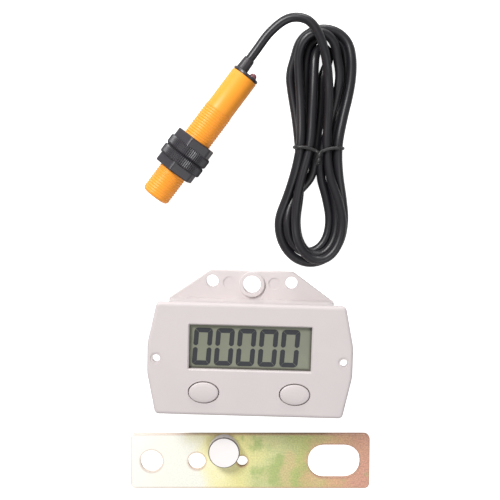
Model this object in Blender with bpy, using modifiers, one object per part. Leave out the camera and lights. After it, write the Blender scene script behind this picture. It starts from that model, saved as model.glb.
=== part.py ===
"""A magnetic induction counter, laid out as a kit on a table.

The counter lies on its back with its display up. Beside it lie its threaded sensor, whose
lead is wound into a tied hank, a plated mounting bar, and the magnet on the bar.
Metres, +Z up. The origin is the centre of the counter's back face, on the table.
"""

import math

import bmesh
import bpy
import numpy as np
from mathutils import Matrix, Vector

# Clearances and working values shared by all the pieces
SEAT_GAP = 0.0003
SLIDE_GAP = 0.0002
OVERRUN = 0.001
EMBED = 0.0006
MERGE = 0.000002
ARC_STEP_ANGLE = math.radians(18)
ROUND_COUNT = 32
SMALL_ROUND_COUNT = 16

# Counter case
CASE_DEPTH = 0.022
CASE_HALF_WIDTH = 0.0346
CASE_HALF_HEIGHT = 0.022
CASE_CORNER = 0.003
CASE_WALL = 0.0018
BACK_WALL = 0.002
SEAM_DROP = 0.0016
TONGUE_HEIGHT = 0.0015
TONGUE_WALL = 0.0008

# Front panel, whose sides bulge into two screw ears
PANEL_THICKNESS = 0.0022
PANEL_HALF_HEIGHT = 0.0228
PANEL_CORNER_HALF_WIDTH = 0.0376
PANEL_EAR_HALF_WIDTH = 0.0411
PANEL_CORNER = 0.002
PANEL_ROUNDING = 0.0014
EAR_FLAT_HALF_HEIGHT = 0.006
EAR_BEND = 0.012
EAR_HOLE_X = 0.0374
EAR_HOLE_RADIUS = 0.0015
EAR_RIM_RADIUS = 0.0024
EAR_RIM_DEPTH = 0.0003

# Display window and the display stack behind it
WINDOW_Y = 0.005
WINDOW_HALF_WIDTH = 0.0244
WINDOW_HALF_HEIGHT = 0.00895
WINDOW_CORNER = 0.0003
WINDOW_CHAMFER = 0.0005
GLASS_HALF_WIDTH = 0.0256
GLASS_HALF_HEIGHT = 0.0113
GLASS_THICKNESS = 0.0011
REAR_GLASS_HALF_HEIGHT = 0.0089
REFLECTOR_THICKNESS = 0.0003
REFLECTOR_MARGIN = 0.0004
CONTACT_STRIP_WIDTH = 0.0018
CONTACT_STRIP_HALF_LENGTH = 0.0248
FRAME_WALL = 0.0011

# Push buttons: an oval cap, its hidden rim and the switch below it
BUTTON_X = 0.0182
BUTTON_Y = -0.0133
BUTTON_HALF_WIDTH = 0.0059
BUTTON_HALF_HEIGHT = 0.0041
BUTTON_GAP = 0.00035
BUTTON_PROUD = 0.0004
BUTTON_CROWN = 0.0007
BUTTON_RIM = 0.0009
BUTTON_RIM_THICKNESS = 0.0009
BUTTON_HOLE_CHAMFER = 0.0002
BUTTON_COUNT = 28
CROWN_RINGS = 4
SWITCH_HALF_WIDTH = 0.003
SWITCH_HEIGHT = 0.0018
SWITCH_CORNER = 0.0005
PLUNGER_RADIUS = 0.0015
PLUNGER_PROUD = 0.0008
PLUNGER_DEPTH = 0.001
STEM_RADIUS = 0.0016

# Circuit board and what is soldered to its two faces
BOARD_THICKNESS = 0.0016
BOARD_DEPTH = 0.0065
BOARD_HALF_WIDTH = 0.0305
BOARD_HALF_HEIGHT = 0.0188
BOARD_NOTCH = 0.0065
CHIP_X = -0.015
CHIP_Y = -0.0075
CHIP_RADIUS = 0.005
CHIP_HEIGHT = 0.0016
CHIP_RINGS = 4
CRYSTAL_X = -0.004
CRYSTAL_Y = -0.006
CRYSTAL_RADIUS = 0.001
CRYSTAL_LENGTH = 0.006
CAPACITOR_X = -0.025
CAPACITOR_Y = -0.002
CAPACITOR_RADIUS = 0.0025
CAPACITOR_FLOOR_GAP = 0.004
CAPACITOR_ROUNDING = 0.0005
RESISTOR_X = 0.003
RESISTOR_Y = -0.003
RESISTOR_LENGTH = 0.003
RESISTOR_WIDTH = 0.0015
RESISTOR_HEIGHT = 0.0006

# Battery, its saddles and its contacts
CELL_TOP_GAP = 0.0002
CELL_LENGTH = 0.0445
CELL_Y = 0.01
CELL_ROUNDING = 0.0006
CELL_NUB_RADIUS = 0.0019
CELL_NUB_HEIGHT = 0.0009
SADDLE_X = 0.013
SADDLE_THICKNESS = 0.0016
SADDLE_HALF_WIDTH = 0.0066
END_WALL_THICKNESS = 0.0012
END_WALL_HALF_WIDTH = 0.0056
END_WALL_DROP = 0.0043
CONTACT_THICKNESS = 0.0004
CONTACT_HALF_WIDTH = 0.004
CONTACT_BUMP_RADIUS = 0.0016
CONTACT_BUMP_HEIGHT = 0.0009

# Two-way input terminal under the board, with its entries in the lower case wall
TERMINAL_X = 0.0135
TERMINAL_HALF_WIDTH = 0.0051
TERMINAL_FRONT_Y = -0.0198
TERMINAL_LENGTH = 0.0076
TERMINAL_CLEARANCE = 0.0012
TERMINAL_PITCH = 0.005
TERMINAL_CORNER = 0.0004
ENTRY_HALF_WIDTH = 0.0015
ENTRY_HALF_HEIGHT = 0.0016
ENTRY_RISE = 0.0033
ENTRY_MARGIN = 0.0003
CLAMP_SCREW_Y = -0.0155
CLAMP_SCREW_RADIUS = 0.0014
CLAMP_SCREW_LENGTH = 0.0034
CLAMP_SLOT_WIDTH = 0.0006
CLAMP_SLOT_DEPTH = 0.0007
CLAMP_WELL_LENGTH = 0.0045
DRIVER_HOLE_RADIUS = 0.0021

# Screws
CASE_SCREW_X = 0.0303
CASE_SCREW_Y = 0.0177
CASE_SCREW_RADIUS = 0.0011
CASE_SCREW_HEAD_RADIUS = 0.0021
CASE_SCREW_HEAD_HEIGHT = 0.0014
CASE_SCREW_REACH = 0.004
CASE_BOSS_RADIUS = 0.0029
BOSS_SET_BACK = 0.0002
PILOT_END_WALL = 0.0005
BOARD_SCREW_PLACES = ((-0.0282, -0.0105), (0.0, -0.0145), (0.0282, -0.0105))
BOARD_SCREW_RADIUS = 0.0009
BOARD_SCREW_HEAD_RADIUS = 0.0017
BOARD_SCREW_HEAD_HEIGHT = 0.0011
BOARD_POST_RADIUS = 0.002
SCREW_RECESS_SHARE = 0.5
SCREW_TIP_SHARE = 0.5

# Rear flange, with its raised boss and its screw holes
FLANGE_THICKNESS = 0.0025
FLANGE_TOP_Y = 0.0337
FLANGE_TOP_HALF_WIDTH = 0.0172
FLANGE_ROOT_INSET = 0.0001
FLANGE_ROOT_DEPTH = 0.0006
FLANGE_CORNER = 0.0032
FLANGE_BOSS_Y = 0.0281
FLANGE_BOSS_RADIUS = 0.0054
FLANGE_BOSS_HEIGHT = 0.0011
FLANGE_BOSS_HOLE_RADIUS = 0.00375
FLANGE_HOLE_X = 0.0165
FLANGE_HOLE_Y = 0.0291
FLANGE_HOLE_RADIUS = 0.0026
FLANGE_MARK_X = 0.00945
FLANGE_MARK_Y = 0.0286
FLANGE_MARK_RADIUS = 0.0025
FLANGE_MARK_DEPTH = 0.0003
FLANGE_CHAMFER = 0.0003

# Sensor: a threaded barrel with a smooth rear end
SENSOR_NOSE_X = -0.04041
SENSOR_NOSE_Y = 0.06388
SENSOR_HEADING_ANGLE = math.radians(54.23)
SENSOR_LENGTH = 0.0616
THREAD_RADIUS = 0.006
THREAD_LENGTH = 0.0432
THREAD_RUNOUT = 0.0006
NOSE_ROUNDING = 0.0014
NOSE_WALL = 0.0018
SMOOTH_RADIUS = 0.0057
BARREL_BORE_RADIUS = 0.0044
REAR_BORE_RADIUS = 0.0051
REAR_BORE_DEPTH = 0.0055
CAP_LIP = 0.001
CAP_PLUG_LENGTH = 0.0035
CAP_CHAMFER = 0.0003
BOOT_OFFSET = 0.0025
BOOT_BASE_RADIUS = 0.0025
BOOT_END_RADIUS = 0.0023
BOOT_LENGTH = 0.00503
BOOT_ROUNDING = 0.0004
LED_OFFSET = 0.0028
LED_RADIUS = 0.0015
LED_PROUD = 0.0019
LED_DEPTH = 0.0048
SENSOR_BOARD_THICKNESS = 0.0012
SENSOR_BOARD_DROP = 0.0006
SENSOR_BOARD_MARGIN = 0.00025
REED_RADIUS = 0.0012
REED_LENGTH = 0.014
REED_LEAD_RADIUS = 0.0003
REED_LEAD_LENGTH = 0.003
SERIES_RESISTOR_LENGTH = 0.003
SERIES_RESISTOR_WIDTH = 0.0016
SERIES_RESISTOR_HEIGHT = 0.0008
SERIES_RESISTOR_PLACE = 0.04

# Lock nuts: a six-sided neck on a knurled flange
NUT_ACROSS_FLATS = 0.0159
NUT_CORNER = 0.0016
NUT_NECK_LENGTH = 0.00365
NUT_NECK_CHAMFER = 0.0004
NUT_FLANGE_RADIUS = 0.00937
NUT_FLANGE_LENGTH = 0.0041
NUT_FLANGE_ROUNDING = 0.0008
NUT_RIB_COUNT = 72
NUT_RIB_DEPTH = 0.0003
NUT_TURN_ANGLE = math.radians(-6.5)
NUT_SPLIT_PLACE = 0.0206

# Lead, and the hank that its free length is wound into
CORD_RADIUS = 0.00185
CORD_POINT_STEP = 0.0072
LEAD_ROUTE = (
    (0.0049, 0.1309, 0.0096),
    (0.0128, 0.1363, 0.0105),
    (0.0197, 0.1352, 0.0113),
    (0.0238, 0.1299, 0.0114),
    (0.0265, 0.1228, 0.0107),
    (0.028, 0.1158, 0.0089),
)
HANK_X = 0.02577
HANK_Y = 0.0853
HANK_UPPER_REACH = (0.0369, 0.0354)
HANK_UPPER_SHIFT = (0.0013, -0.00105)
HANK_UPPER_BEND = (0.00175, 0.00214)
HANK_UPPER_STEP = (0.00515, 0.00625)
HANK_UPPER_SLANT = 0.1
HANK_LOWER_REACH = (0.0362, 0.0351)
HANK_LOWER_SHIFT = (-0.0006, -0.00224)
HANK_LOWER_BEND = (0.006, 0.00545)
HANK_LOWER_STEP = 0.00455
HANK_WAIST_SHIFT = (0.00083, -0.0013)
HANK_WAIST_BEND = (0.00281, 0.00105)
HANK_WAIST_STEP = 0.0042
HANK_LAYER_STEP = 0.00425
HANK_BASE_GAP = 0.00003
HANK_TURNS = 4
HANK_FIRST_TURN = -0.07
HANK_LAST_TURN = 4.02
HANK_CLIMB_START = 1.71
HANK_CLIMB_END = 1.96
HANK_POINT_COUNT = 24
HALF_TURN = 0.5

# Wire tie round the hank's waist, with its twisted ends
TIE_RADIUS = 0.00065
TIE_CORNER = 0.0028
TIE_DIP = 0.0016
TIE_TWIST_LENGTH = 0.0066
TIE_TWIST_TURNS = 1.5
TIE_TWIST_RADIUS = 0.00098
TIE_TWIST_COUNT = 18
TIE_LEVEL_GAP = 0.00005

# Mounting bar and the magnet that lies on it
BAR_X = 0.00124
BAR_Y = -0.04807
BAR_TURN_ANGLE = math.radians(1.59)
BAR_LENGTH = 0.102
BAR_WIDTH = 0.0238
BAR_THICKNESS = 0.002
BAR_CORNER = 0.0022
BAR_EDGE_CHAMFER = 0.0002
BAR_HOLE_SHARES = (-0.4118, -0.2221, -0.0324)
BAR_HOLE_RADII = (0.00477, 0.0037, 0.00235)
SLOT_SHARE = 0.351
SLOT_LENGTH = 0.0222
SLOT_WIDTH = 0.0145
MAGNET_X = -0.0109
MAGNET_Y = 0.0054
MAGNET_RADIUS = 0.0066
MAGNET_THICKNESS = 0.005
MAGNET_CHAMFER = 0.0004

# Levels of the stack between the panel and the board, from the sizes above
PANEL_BACK = CASE_DEPTH - PANEL_THICKNESS
BOARD_LOW = PANEL_BACK - BOARD_DEPTH
BOARD_HIGH = BOARD_LOW + BOARD_THICKNESS
FRONT_GLASS_HIGH = PANEL_BACK - SEAT_GAP
FRONT_GLASS_LOW = FRONT_GLASS_HIGH - GLASS_THICKNESS
REAR_GLASS_HIGH = FRONT_GLASS_LOW - SEAT_GAP
REAR_GLASS_LOW = REAR_GLASS_HIGH - GLASS_THICKNESS
SEAM_HEIGHT = BOARD_LOW - SEAM_DROP
FRONT_SEAM = SEAM_HEIGHT + SEAT_GAP
TONGUE_TOP = SEAM_HEIGHT + TONGUE_HEIGHT
REAR_BOSS_TOP = TONGUE_TOP - BOSS_SET_BACK
FRONT_BOSS_LOW = TONGUE_TOP + SEAT_GAP + BOSS_SET_BACK
CELL_RADIUS = (BOARD_LOW - SEAT_GAP - CELL_TOP_GAP - BACK_WALL - SEAT_GAP) / 2
TERMINAL_LOW = BACK_WALL + TERMINAL_CLEARANCE
ENTRY_Z = TERMINAL_LOW + ENTRY_RISE
CAPACITOR_HEIGHT = BOARD_LOW - SEAT_GAP - BACK_WALL - CAPACITOR_FLOOR_GAP
REAR_BORE_PLACE = SENSOR_LENGTH - REAR_BORE_DEPTH


def clear_scene():
    for leftover in list(bpy.data.objects):
        bpy.data.objects.remove(leftover)


def new_collection(name):
    collection = bpy.data.collections.new(name)
    bpy.context.scene.collection.children.link(collection)
    return collection


def material(name, color, roughness, metallic=0.0):
    made = bpy.data.materials.new(name)
    made.use_nodes = True
    shader = made.node_tree.nodes["Principled BSDF"]
    shader.inputs["Base Color"].default_value = (*color, 1)
    shader.inputs["Roughness"].default_value = roughness
    shader.inputs["Metallic"].default_value = metallic
    return made


def circle(radius, centre=(0, 0), count=ROUND_COUNT):
    return ellipse(radius, radius, centre, count)


def ellipse(half_x, half_y, centre=(0, 0), count=ROUND_COUNT):
    angles = [math.tau * step / count for step in range(count)]
    return [(centre[0] + half_x * math.cos(a), centre[1] + half_y * math.sin(a)) for a in angles]


def rounded(corners):
    """The points of a closed outline whose corners, each x, y and radius, are rounded."""
    points = []
    for index, (x, y, radius) in enumerate(corners):
        corner = Vector((x, y))
        before = (Vector(corners[index - 1][:2]) - corner).normalized()
        after = (Vector(corners[(index + 1) % len(corners)][:2]) - corner).normalized()
        half = before.angle(after) / 2
        centre = corner + (before + after).normalized() * radius / math.sin(half)
        arm = corner + before * radius / math.tan(half) - centre
        turn = math.copysign(math.pi - 2 * half, after.cross(before))
        steps = max(2, math.ceil(abs(turn) / ARC_STEP_ANGLE))
        for step in range(steps + 1):
            spoke = Matrix.Rotation(turn * step / steps, 2) @ arm
            points.append((centre.x + spoke.x, centre.y + spoke.y))
    return points


def rounded_box(half_x, half_y, radius, centre=(0, 0)):
    signs = ((1, -1), (1, 1), (-1, 1), (-1, -1))
    return rounded([(centre[0] + sx * half_x, centre[1] + sy * half_y, radius) for sx, sy in signs])


def flat_mesh(name, loops, low, high):
    """A flat solid between two heights. The first loop is its edge, the others its holes."""
    curve = bpy.data.curves.new(name, "CURVE")
    curve.dimensions = "2D"
    curve.fill_mode = "BOTH"
    curve.extrude = (high - low) / 2
    for loop in loops:
        spline = curve.splines.new("POLY")
        spline.points.add(len(loop) - 1)
        for point, (x, y) in zip(spline.points, loop):
            point.co = (x, y, 0, 1)
        spline.use_cyclic_u = True
    guide = bpy.data.objects.new(name, curve)
    bpy.context.scene.collection.objects.link(guide)
    bpy.context.view_layer.update()
    graph = bpy.context.evaluated_depsgraph_get()
    mesh = bpy.data.meshes.new_from_object(guide.evaluated_get(graph))
    bpy.data.objects.remove(guide)
    shape = bmesh.new()
    shape.from_mesh(mesh)
    bmesh.ops.remove_doubles(shape, verts=shape.verts, dist=MERGE)
    bmesh.ops.translate(shape, verts=shape.verts, vec=(0, 0, (low + high) / 2))
    bmesh.ops.recalc_face_normals(shape, faces=shape.faces)
    shape.to_mesh(mesh)
    shape.free()
    return mesh


def inset(loop, distance):
    """A loop moved inward, each point along the middle of its corner."""
    points = [Vector(place) for place in loop]
    area = sum(a.cross(b) for a, b in zip(points, points[1:] + points[:1]))
    inward = Matrix.Rotation(math.copysign(math.pi / 2, area), 2)
    moved = []
    for index, point in enumerate(points):
        before = (point - points[index - 1]).normalized()
        after = (points[(index + 1) % len(points)] - point).normalized()
        middle = (before + after).normalized()
        moved.append(tuple(point + inward @ middle * distance / middle.dot(after)))
    return moved


def loft_mesh(name, rings):
    """A solid through loops of equally many points, each given with its height."""
    shape = bmesh.new()
    made = [[shape.verts.new((x, y, height)) for x, y in loop] for loop, height in rings]
    count = len(made[0])
    for lower, upper in zip(made, made[1:]):
        for index in range(count):
            after = (index + 1) % count
            shape.faces.new((lower[index], lower[after], upper[after], upper[index]))
    shape.faces.new(made[0][::-1])
    shape.faces.new(made[-1])
    bmesh.ops.recalc_face_normals(shape, faces=shape.faces)
    mesh = bpy.data.meshes.new(name)
    shape.to_mesh(mesh)
    shape.free()
    return mesh


def edged_mesh(name, loop, low, high, rounding, steps=1):
    """A flat solid without holes, its upper edge chamfered or rounded."""
    rings = [(loop, low)]
    for step in range(steps + 1):
        angle = math.pi / 2 * step / steps
        drawn_in = rounding * (1 - math.cos(angle))
        rings.append((inset(loop, drawn_in), high - rounding * (1 - math.sin(angle))))
    return loft_mesh(name, rings)


def flared_cutter(name, loop, low, high, flare):
    """A cutter through a flat face at the upper height, which it chamfers."""
    wide = inset(loop, -flare)
    rings = [(loop, low), (loop, high - flare), (wide, high), (wide, high + OVERRUN)]
    return placed(name, loft_mesh(name, rings), plastic)


def placed(name, mesh, made_of, parent=None, collection=None):
    made = bpy.data.objects.new(name, mesh)
    mesh.materials.clear()
    mesh.materials.append(made_of)
    made.parent = parent
    (collection or parts).objects.link(made)
    return made


def flat(name, loops, low, high, made_of, parent=None):
    return placed(name, flat_mesh(name, loops, low, high), made_of, parent)


def turned_mesh(name, profile):
    """The edges of a profile of radius and height pairs, which runs down its outer side."""
    mesh = bpy.data.meshes.new(name)
    shape = bmesh.new()
    corners = [shape.verts.new((radius, 0, height)) for radius, height in profile]
    for first, second in zip(corners, corners[1:]):
        shape.edges.new((first, second))
    shape.to_mesh(mesh)
    shape.free()
    return mesh


def turned(name, profile, made_of, parent=None, steps=ROUND_COUNT, closed=False):
    outline = list(profile)
    if closed:
        outline.append(outline[0])
    made = placed(name, turned_mesh(name, outline), made_of, parent)
    screw = made.modifiers.new("turn", "SCREW")
    screw.axis = "Z"
    screw.steps = steps
    screw.render_steps = steps
    screw.use_merge_vertices = True
    screw.merge_threshold = MERGE
    if closed:
        weld = made.modifiers.new("close", "WELD")
        weld.merge_threshold = MERGE
    return made


def boolean(target, operation, other):
    """Add a Boolean with a helper, which leaves the render and is drawn as wire."""
    for holder in list(other.users_collection):
        holder.objects.unlink(other)
    cutters.objects.link(other)
    other.hide_render = True
    other.display_type = "WIRE"
    change = target.modifiers.new(operation.lower(), "BOOLEAN")
    change.operation = operation
    change.solver = "EXACT"
    change.object = other


def join(target, other):
    boolean(target, "UNION", other)


def cut(target, other):
    boolean(target, "DIFFERENCE", other)


def block(name, low, high, made_of, parent=None, rounding=0.0):
    """A box between two corners, with its upright edges rounded where a radius is given."""
    shape = bmesh.new()
    bmesh.ops.create_cube(shape, size=1)
    size = [b - a for a, b in zip(low, high)]
    middle = [(a + b) / 2 for a, b in zip(low, high)]
    bmesh.ops.scale(shape, verts=shape.verts, vec=size)
    bmesh.ops.translate(shape, verts=shape.verts, vec=middle)
    if rounding:
        upright = [e for e in shape.edges if abs(e.verts[0].co.z - e.verts[1].co.z) > MERGE]
        bmesh.ops.bevel(
            shape,
            geom=upright,
            offset=rounding,
            segments=2,
            profile=0.5,
            affect="EDGES",
            material=-1,
        )
    mesh = bpy.data.meshes.new(name)
    shape.to_mesh(mesh)
    shape.free()
    return placed(name, mesh, made_of, parent)


def rod(name, radius, low, high, centre, made_of, parent=None, count=SMALL_ROUND_COUNT):
    """An upright cylinder between two heights."""
    shape = bmesh.new()
    bmesh.ops.create_cone(
        shape, cap_ends=True, segments=count, radius1=radius, radius2=radius, depth=high - low
    )
    bmesh.ops.translate(shape, verts=shape.verts, vec=(*centre, (low + high) / 2))
    mesh = bpy.data.meshes.new(name)
    shape.to_mesh(mesh)
    shape.free()
    return placed(name, mesh, made_of, parent)


def quarter_round(radius, height, rounding, steps=3):
    """Profile points of a rounded outer edge, from its flat top down to its side."""
    points = []
    for step in range(steps + 1):
        angle = math.pi / 2 * (1 - step / steps)
        points.append(
            (
                radius - rounding + rounding * math.cos(angle),
                height - rounding + rounding * math.sin(angle),
            )
        )
    return points


def case_loop(inset):
    corner = max(CASE_CORNER - inset, CASE_CORNER - CASE_WALL)
    return rounded_box(CASE_HALF_WIDTH - inset, CASE_HALF_HEIGHT - inset, corner)


def panel_outline():
    right = [
        (PANEL_CORNER_HALF_WIDTH, -PANEL_HALF_HEIGHT, PANEL_CORNER),
        (PANEL_EAR_HALF_WIDTH, -EAR_FLAT_HALF_HEIGHT, EAR_BEND),
        (PANEL_EAR_HALF_WIDTH, EAR_FLAT_HALF_HEIGHT, EAR_BEND),
        (PANEL_CORNER_HALF_WIDTH, PANEL_HALF_HEIGHT, PANEL_CORNER),
    ]
    left = [(-x, -y, radius) for x, y, radius in right]
    return rounded(right + left)


def button_centres():
    return {"pause": (-BUTTON_X, BUTTON_Y), "reset": (BUTTON_X, BUTTON_Y)}


def case_screw_places():
    return [(sx * CASE_SCREW_X, sy * CASE_SCREW_Y) for sx in (-1, 1) for sy in (-1, 1)]


def clamp_screw_places():
    return [(TERMINAL_X + side * TERMINAL_PITCH / 2, CLAMP_SCREW_Y) for side in (-1, 1)]


def make_front_cover():
    """The moulded front: the eared panel with a skirt, screw bosses and board posts behind."""
    outline = panel_outline()
    mesh = edged_mesh("front_cover", outline, PANEL_BACK, CASE_DEPTH, PANEL_ROUNDING, 4)
    cover = placed("front_cover", mesh, plastic)
    skirt_low = TONGUE_TOP + SEAT_GAP
    embedded = PANEL_BACK + EMBED
    join(cover, flat("skirt", [case_loop(0)], FRONT_SEAM, embedded, plastic))
    lip = case_loop(CASE_WALL - TONGUE_WALL - SEAT_GAP)
    wall = case_loop(CASE_WALL)
    rings = [(lip, FRONT_SEAM - OVERRUN), (lip, skirt_low), (wall, skirt_low), (wall, PANEL_BACK)]
    cut(cover, placed("front_cavity", loft_mesh("front_cavity", rings), plastic))
    pilot_end = PANEL_BACK - PILOT_END_WALL
    bore = CASE_SCREW_RADIUS + SLIDE_GAP
    low = FRONT_BOSS_LOW
    for centre in case_screw_places():
        join(cover, rod("front_boss", CASE_BOSS_RADIUS, low, embedded, centre, plastic, count=20))
        cut(cover, rod("pilot", bore, low - OVERRUN, pilot_end, centre, plastic, count=12))
    bore = BOARD_SCREW_RADIUS + SLIDE_GAP
    low = BOARD_HIGH + SEAT_GAP
    for centre in BOARD_SCREW_PLACES:
        join(cover, rod("board_post", BOARD_POST_RADIUS, low, embedded, centre, plastic))
        cut(cover, rod("pilot", bore, low - OVERRUN, pilot_end, centre, plastic, count=12))
    below = PANEL_BACK - OVERRUN
    window = rounded_box(WINDOW_HALF_WIDTH, WINDOW_HALF_HEIGHT, WINDOW_CORNER, (0, WINDOW_Y))
    cut(cover, flared_cutter("window", window, below, CASE_DEPTH, WINDOW_CHAMFER))
    half_x = BUTTON_HALF_WIDTH + BUTTON_GAP
    half_y = BUTTON_HALF_HEIGHT + BUTTON_GAP
    for kind, centre in button_centres().items():
        loop = ellipse(half_x, half_y, centre, BUTTON_COUNT)
        hole = f"{kind}_hole"
        cut(cover, flared_cutter(hole, loop, below, CASE_DEPTH, BUTTON_HOLE_CHAMFER))
    for side in (-1, 1):
        centre = (side * EAR_HOLE_X, 0)
        high = CASE_DEPTH + OVERRUN
        cut(cover, rod("ear_hole", EAR_HOLE_RADIUS, below, high, centre, plastic))
        low = CASE_DEPTH - EAR_RIM_DEPTH
        cut(cover, rod("ear_rim", EAR_RIM_RADIUS, low, high, centre, plastic))
    return cover


def make_rear_housing():
    """The moulded rear: a tray with a screw flange on its upper edge and ribs for the cell."""
    root_x = CASE_HALF_WIDTH - FLANGE_ROOT_INSET
    root_y = CASE_HALF_HEIGHT - FLANGE_ROOT_DEPTH
    flange = rounded(
        [
            (-root_x, root_y, EMBED),
            (-root_x, root_y - CASE_CORNER, EMBED),
            (root_x, root_y - CASE_CORNER, EMBED),
            (root_x, root_y, EMBED),
            (FLANGE_TOP_HALF_WIDTH, FLANGE_TOP_Y, FLANGE_CORNER),
            (-FLANGE_TOP_HALF_WIDTH, FLANGE_TOP_Y, FLANGE_CORNER),
        ]
    )
    outer = case_loop(0)
    tongue = case_loop(CASE_WALL - TONGUE_WALL)
    rings = [(outer, 0), (outer, SEAM_HEIGHT), (tongue, SEAM_HEIGHT), (tongue, TONGUE_TOP)]
    housing = placed("rear_housing", loft_mesh("rear_housing", rings), plastic)
    cavity = [case_loop(CASE_WALL)]
    cut(housing, flat("rear_cavity", cavity, BACK_WALL, TONGUE_TOP + OVERRUN, plastic))
    flange_mesh = edged_mesh("flange", flange, 0, FLANGE_THICKNESS, FLANGE_CHAMFER)
    join(housing, placed("flange", flange_mesh, plastic))
    centre = (0, FLANGE_BOSS_Y)
    low = FLANGE_THICKNESS - EMBED
    high = FLANGE_THICKNESS + FLANGE_BOSS_HEIGHT
    boss = edged_mesh("flange_boss", circle(FLANGE_BOSS_RADIUS, centre), low, high, FLANGE_CHAMFER)
    join(housing, placed("flange_boss", boss, plastic))
    high += OVERRUN
    low = -OVERRUN
    cut(housing, rod("boss_hole", FLANGE_BOSS_HOLE_RADIUS, low, high, centre, plastic, count=32))
    for side in (-1, 1):
        centre = (side * FLANGE_HOLE_X, FLANGE_HOLE_Y)
        cut(housing, rod("flange_hole", FLANGE_HOLE_RADIUS, low, high, centre, plastic, count=24))
    for side in (-1, 1):
        centre = (side * FLANGE_MARK_X, FLANGE_MARK_Y)
        low = FLANGE_THICKNESS - FLANGE_MARK_DEPTH
        cut(housing, rod("mark", FLANGE_MARK_RADIUS, low, high, centre, plastic, count=24))
    bore = CASE_SCREW_RADIUS + SLIDE_GAP
    head_bore = CASE_SCREW_HEAD_RADIUS + SEAT_GAP
    low = BACK_WALL - EMBED
    high = REAR_BOSS_TOP
    for centre in case_screw_places():
        join(housing, rod("rear_boss", CASE_BOSS_RADIUS, low, high, centre, plastic, count=20))
        cut(housing, rod("bore", bore, -OVERRUN, high + OVERRUN, centre, plastic, count=12))
        cut(housing, rod("head_well", head_bore, -OVERRUN, BACK_WALL, centre, plastic, count=20))
    add_cell_supports(housing)
    for x, y in clamp_screw_places():
        hole = rod("driver_hole", DRIVER_HOLE_RADIUS, -OVERRUN, BACK_WALL * 2, (x, y), plastic)
        cut(housing, hole)
        low = (
            x - ENTRY_HALF_WIDTH - ENTRY_MARGIN,
            -CASE_HALF_HEIGHT - OVERRUN,
            ENTRY_Z - ENTRY_HALF_HEIGHT - ENTRY_MARGIN,
        )
        high = (
            x + ENTRY_HALF_WIDTH + ENTRY_MARGIN,
            -CASE_HALF_HEIGHT + CASE_WALL + OVERRUN,
            ENTRY_Z + ENTRY_HALF_HEIGHT + ENTRY_MARGIN,
        )
        cut(housing, block("entry_window", low, high, plastic))
    return housing


def cell_height():
    return BACK_WALL + SEAT_GAP + CELL_RADIUS


def end_wall_start():
    """Distance from the middle of the cell to the inner face of each end wall."""
    return (
        CELL_LENGTH / 2 + SEAT_GAP + CONTACT_BUMP_HEIGHT + CONTACT_THICKNESS + SEAT_GAP
    )


def add_cell_supports(housing):
    """Two saddles under the cell, and an end wall behind each contact."""
    floor = BACK_WALL - EMBED
    for side in (-1, 1):
        middle = side * SADDLE_X
        low = (middle - SADDLE_THICKNESS / 2, CELL_Y - SADDLE_HALF_WIDTH, floor)
        high = (middle + SADDLE_THICKNESS / 2, CELL_Y + SADDLE_HALF_WIDTH, cell_height())
        join(housing, block("saddle", low, high, plastic))
        ends = sorted((side * end_wall_start(), side * (end_wall_start() + END_WALL_THICKNESS)))
        low = (ends[0], CELL_Y - END_WALL_HALF_WIDTH, floor)
        high = (ends[1], CELL_Y + END_WALL_HALF_WIDTH, BOARD_LOW - END_WALL_DROP)
        join(housing, block("end_wall", low, high, plastic))
    reach = SADDLE_X + SADDLE_THICKNESS
    trough = rod("trough", CELL_RADIUS + SEAT_GAP, -reach, reach, (0, 0), plastic, count=24)
    trough.matrix_world = Matrix.Translation((0, CELL_Y, cell_height())) @ Matrix.Rotation(
        math.pi / 2, 4, "Y"
    )
    cut(housing, trough)


def make_display():
    """The display stack: two glasses, a reflector, two contact strips and their frame."""

    def pane(name, half_height, low, high, made_of, half_width=GLASS_HALF_WIDTH):
        loop = rounded_box(half_width, half_height, WINDOW_CORNER, (0, WINDOW_Y))
        flat(name, [loop], low, high, made_of)

    pane("lcd_front_glass", GLASS_HALF_HEIGHT, FRONT_GLASS_LOW, FRONT_GLASS_HIGH, lcd_glass)
    pane("lcd_rear_glass", REAR_GLASS_HALF_HEIGHT, REAR_GLASS_LOW, REAR_GLASS_HIGH, lcd_glass)
    high = REAR_GLASS_LOW - SEAT_GAP
    half_height = REAR_GLASS_HALF_HEIGHT - REFLECTOR_MARGIN
    half_width = GLASS_HALF_WIDTH - REFLECTOR_MARGIN
    low = high - REFLECTOR_THICKNESS
    pane("lcd_reflector", half_height, low, high, reflector, half_width)
    strip_low = BOARD_HIGH + SEAT_GAP
    strip_high = FRONT_GLASS_LOW - SEAT_GAP
    offset = REAR_GLASS_HALF_HEIGHT + SEAT_GAP + CONTACT_STRIP_WIDTH / 2
    for name, side in (("upper", 1), ("lower", -1)):
        middle = WINDOW_Y + side * offset
        low = (-CONTACT_STRIP_HALF_LENGTH, middle - CONTACT_STRIP_WIDTH / 2, strip_low)
        high = (CONTACT_STRIP_HALF_LENGTH, middle + CONTACT_STRIP_WIDTH / 2, strip_high)
        block(f"contact_strip_{name}", low, high, rubber)
    inner_x = GLASS_HALF_WIDTH + SEAT_GAP
    inner_y = GLASS_HALF_HEIGHT + SEAT_GAP
    loops = [
        rounded_box(inner_x + FRAME_WALL, inner_y + FRAME_WALL, FRAME_WALL, (0, WINDOW_Y)),
        rounded_box(inner_x, inner_y, WINDOW_CORNER, (0, WINDOW_Y)),
    ]
    flat("lcd_frame", loops, strip_low, FRONT_GLASS_HIGH, frame_plastic)


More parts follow.
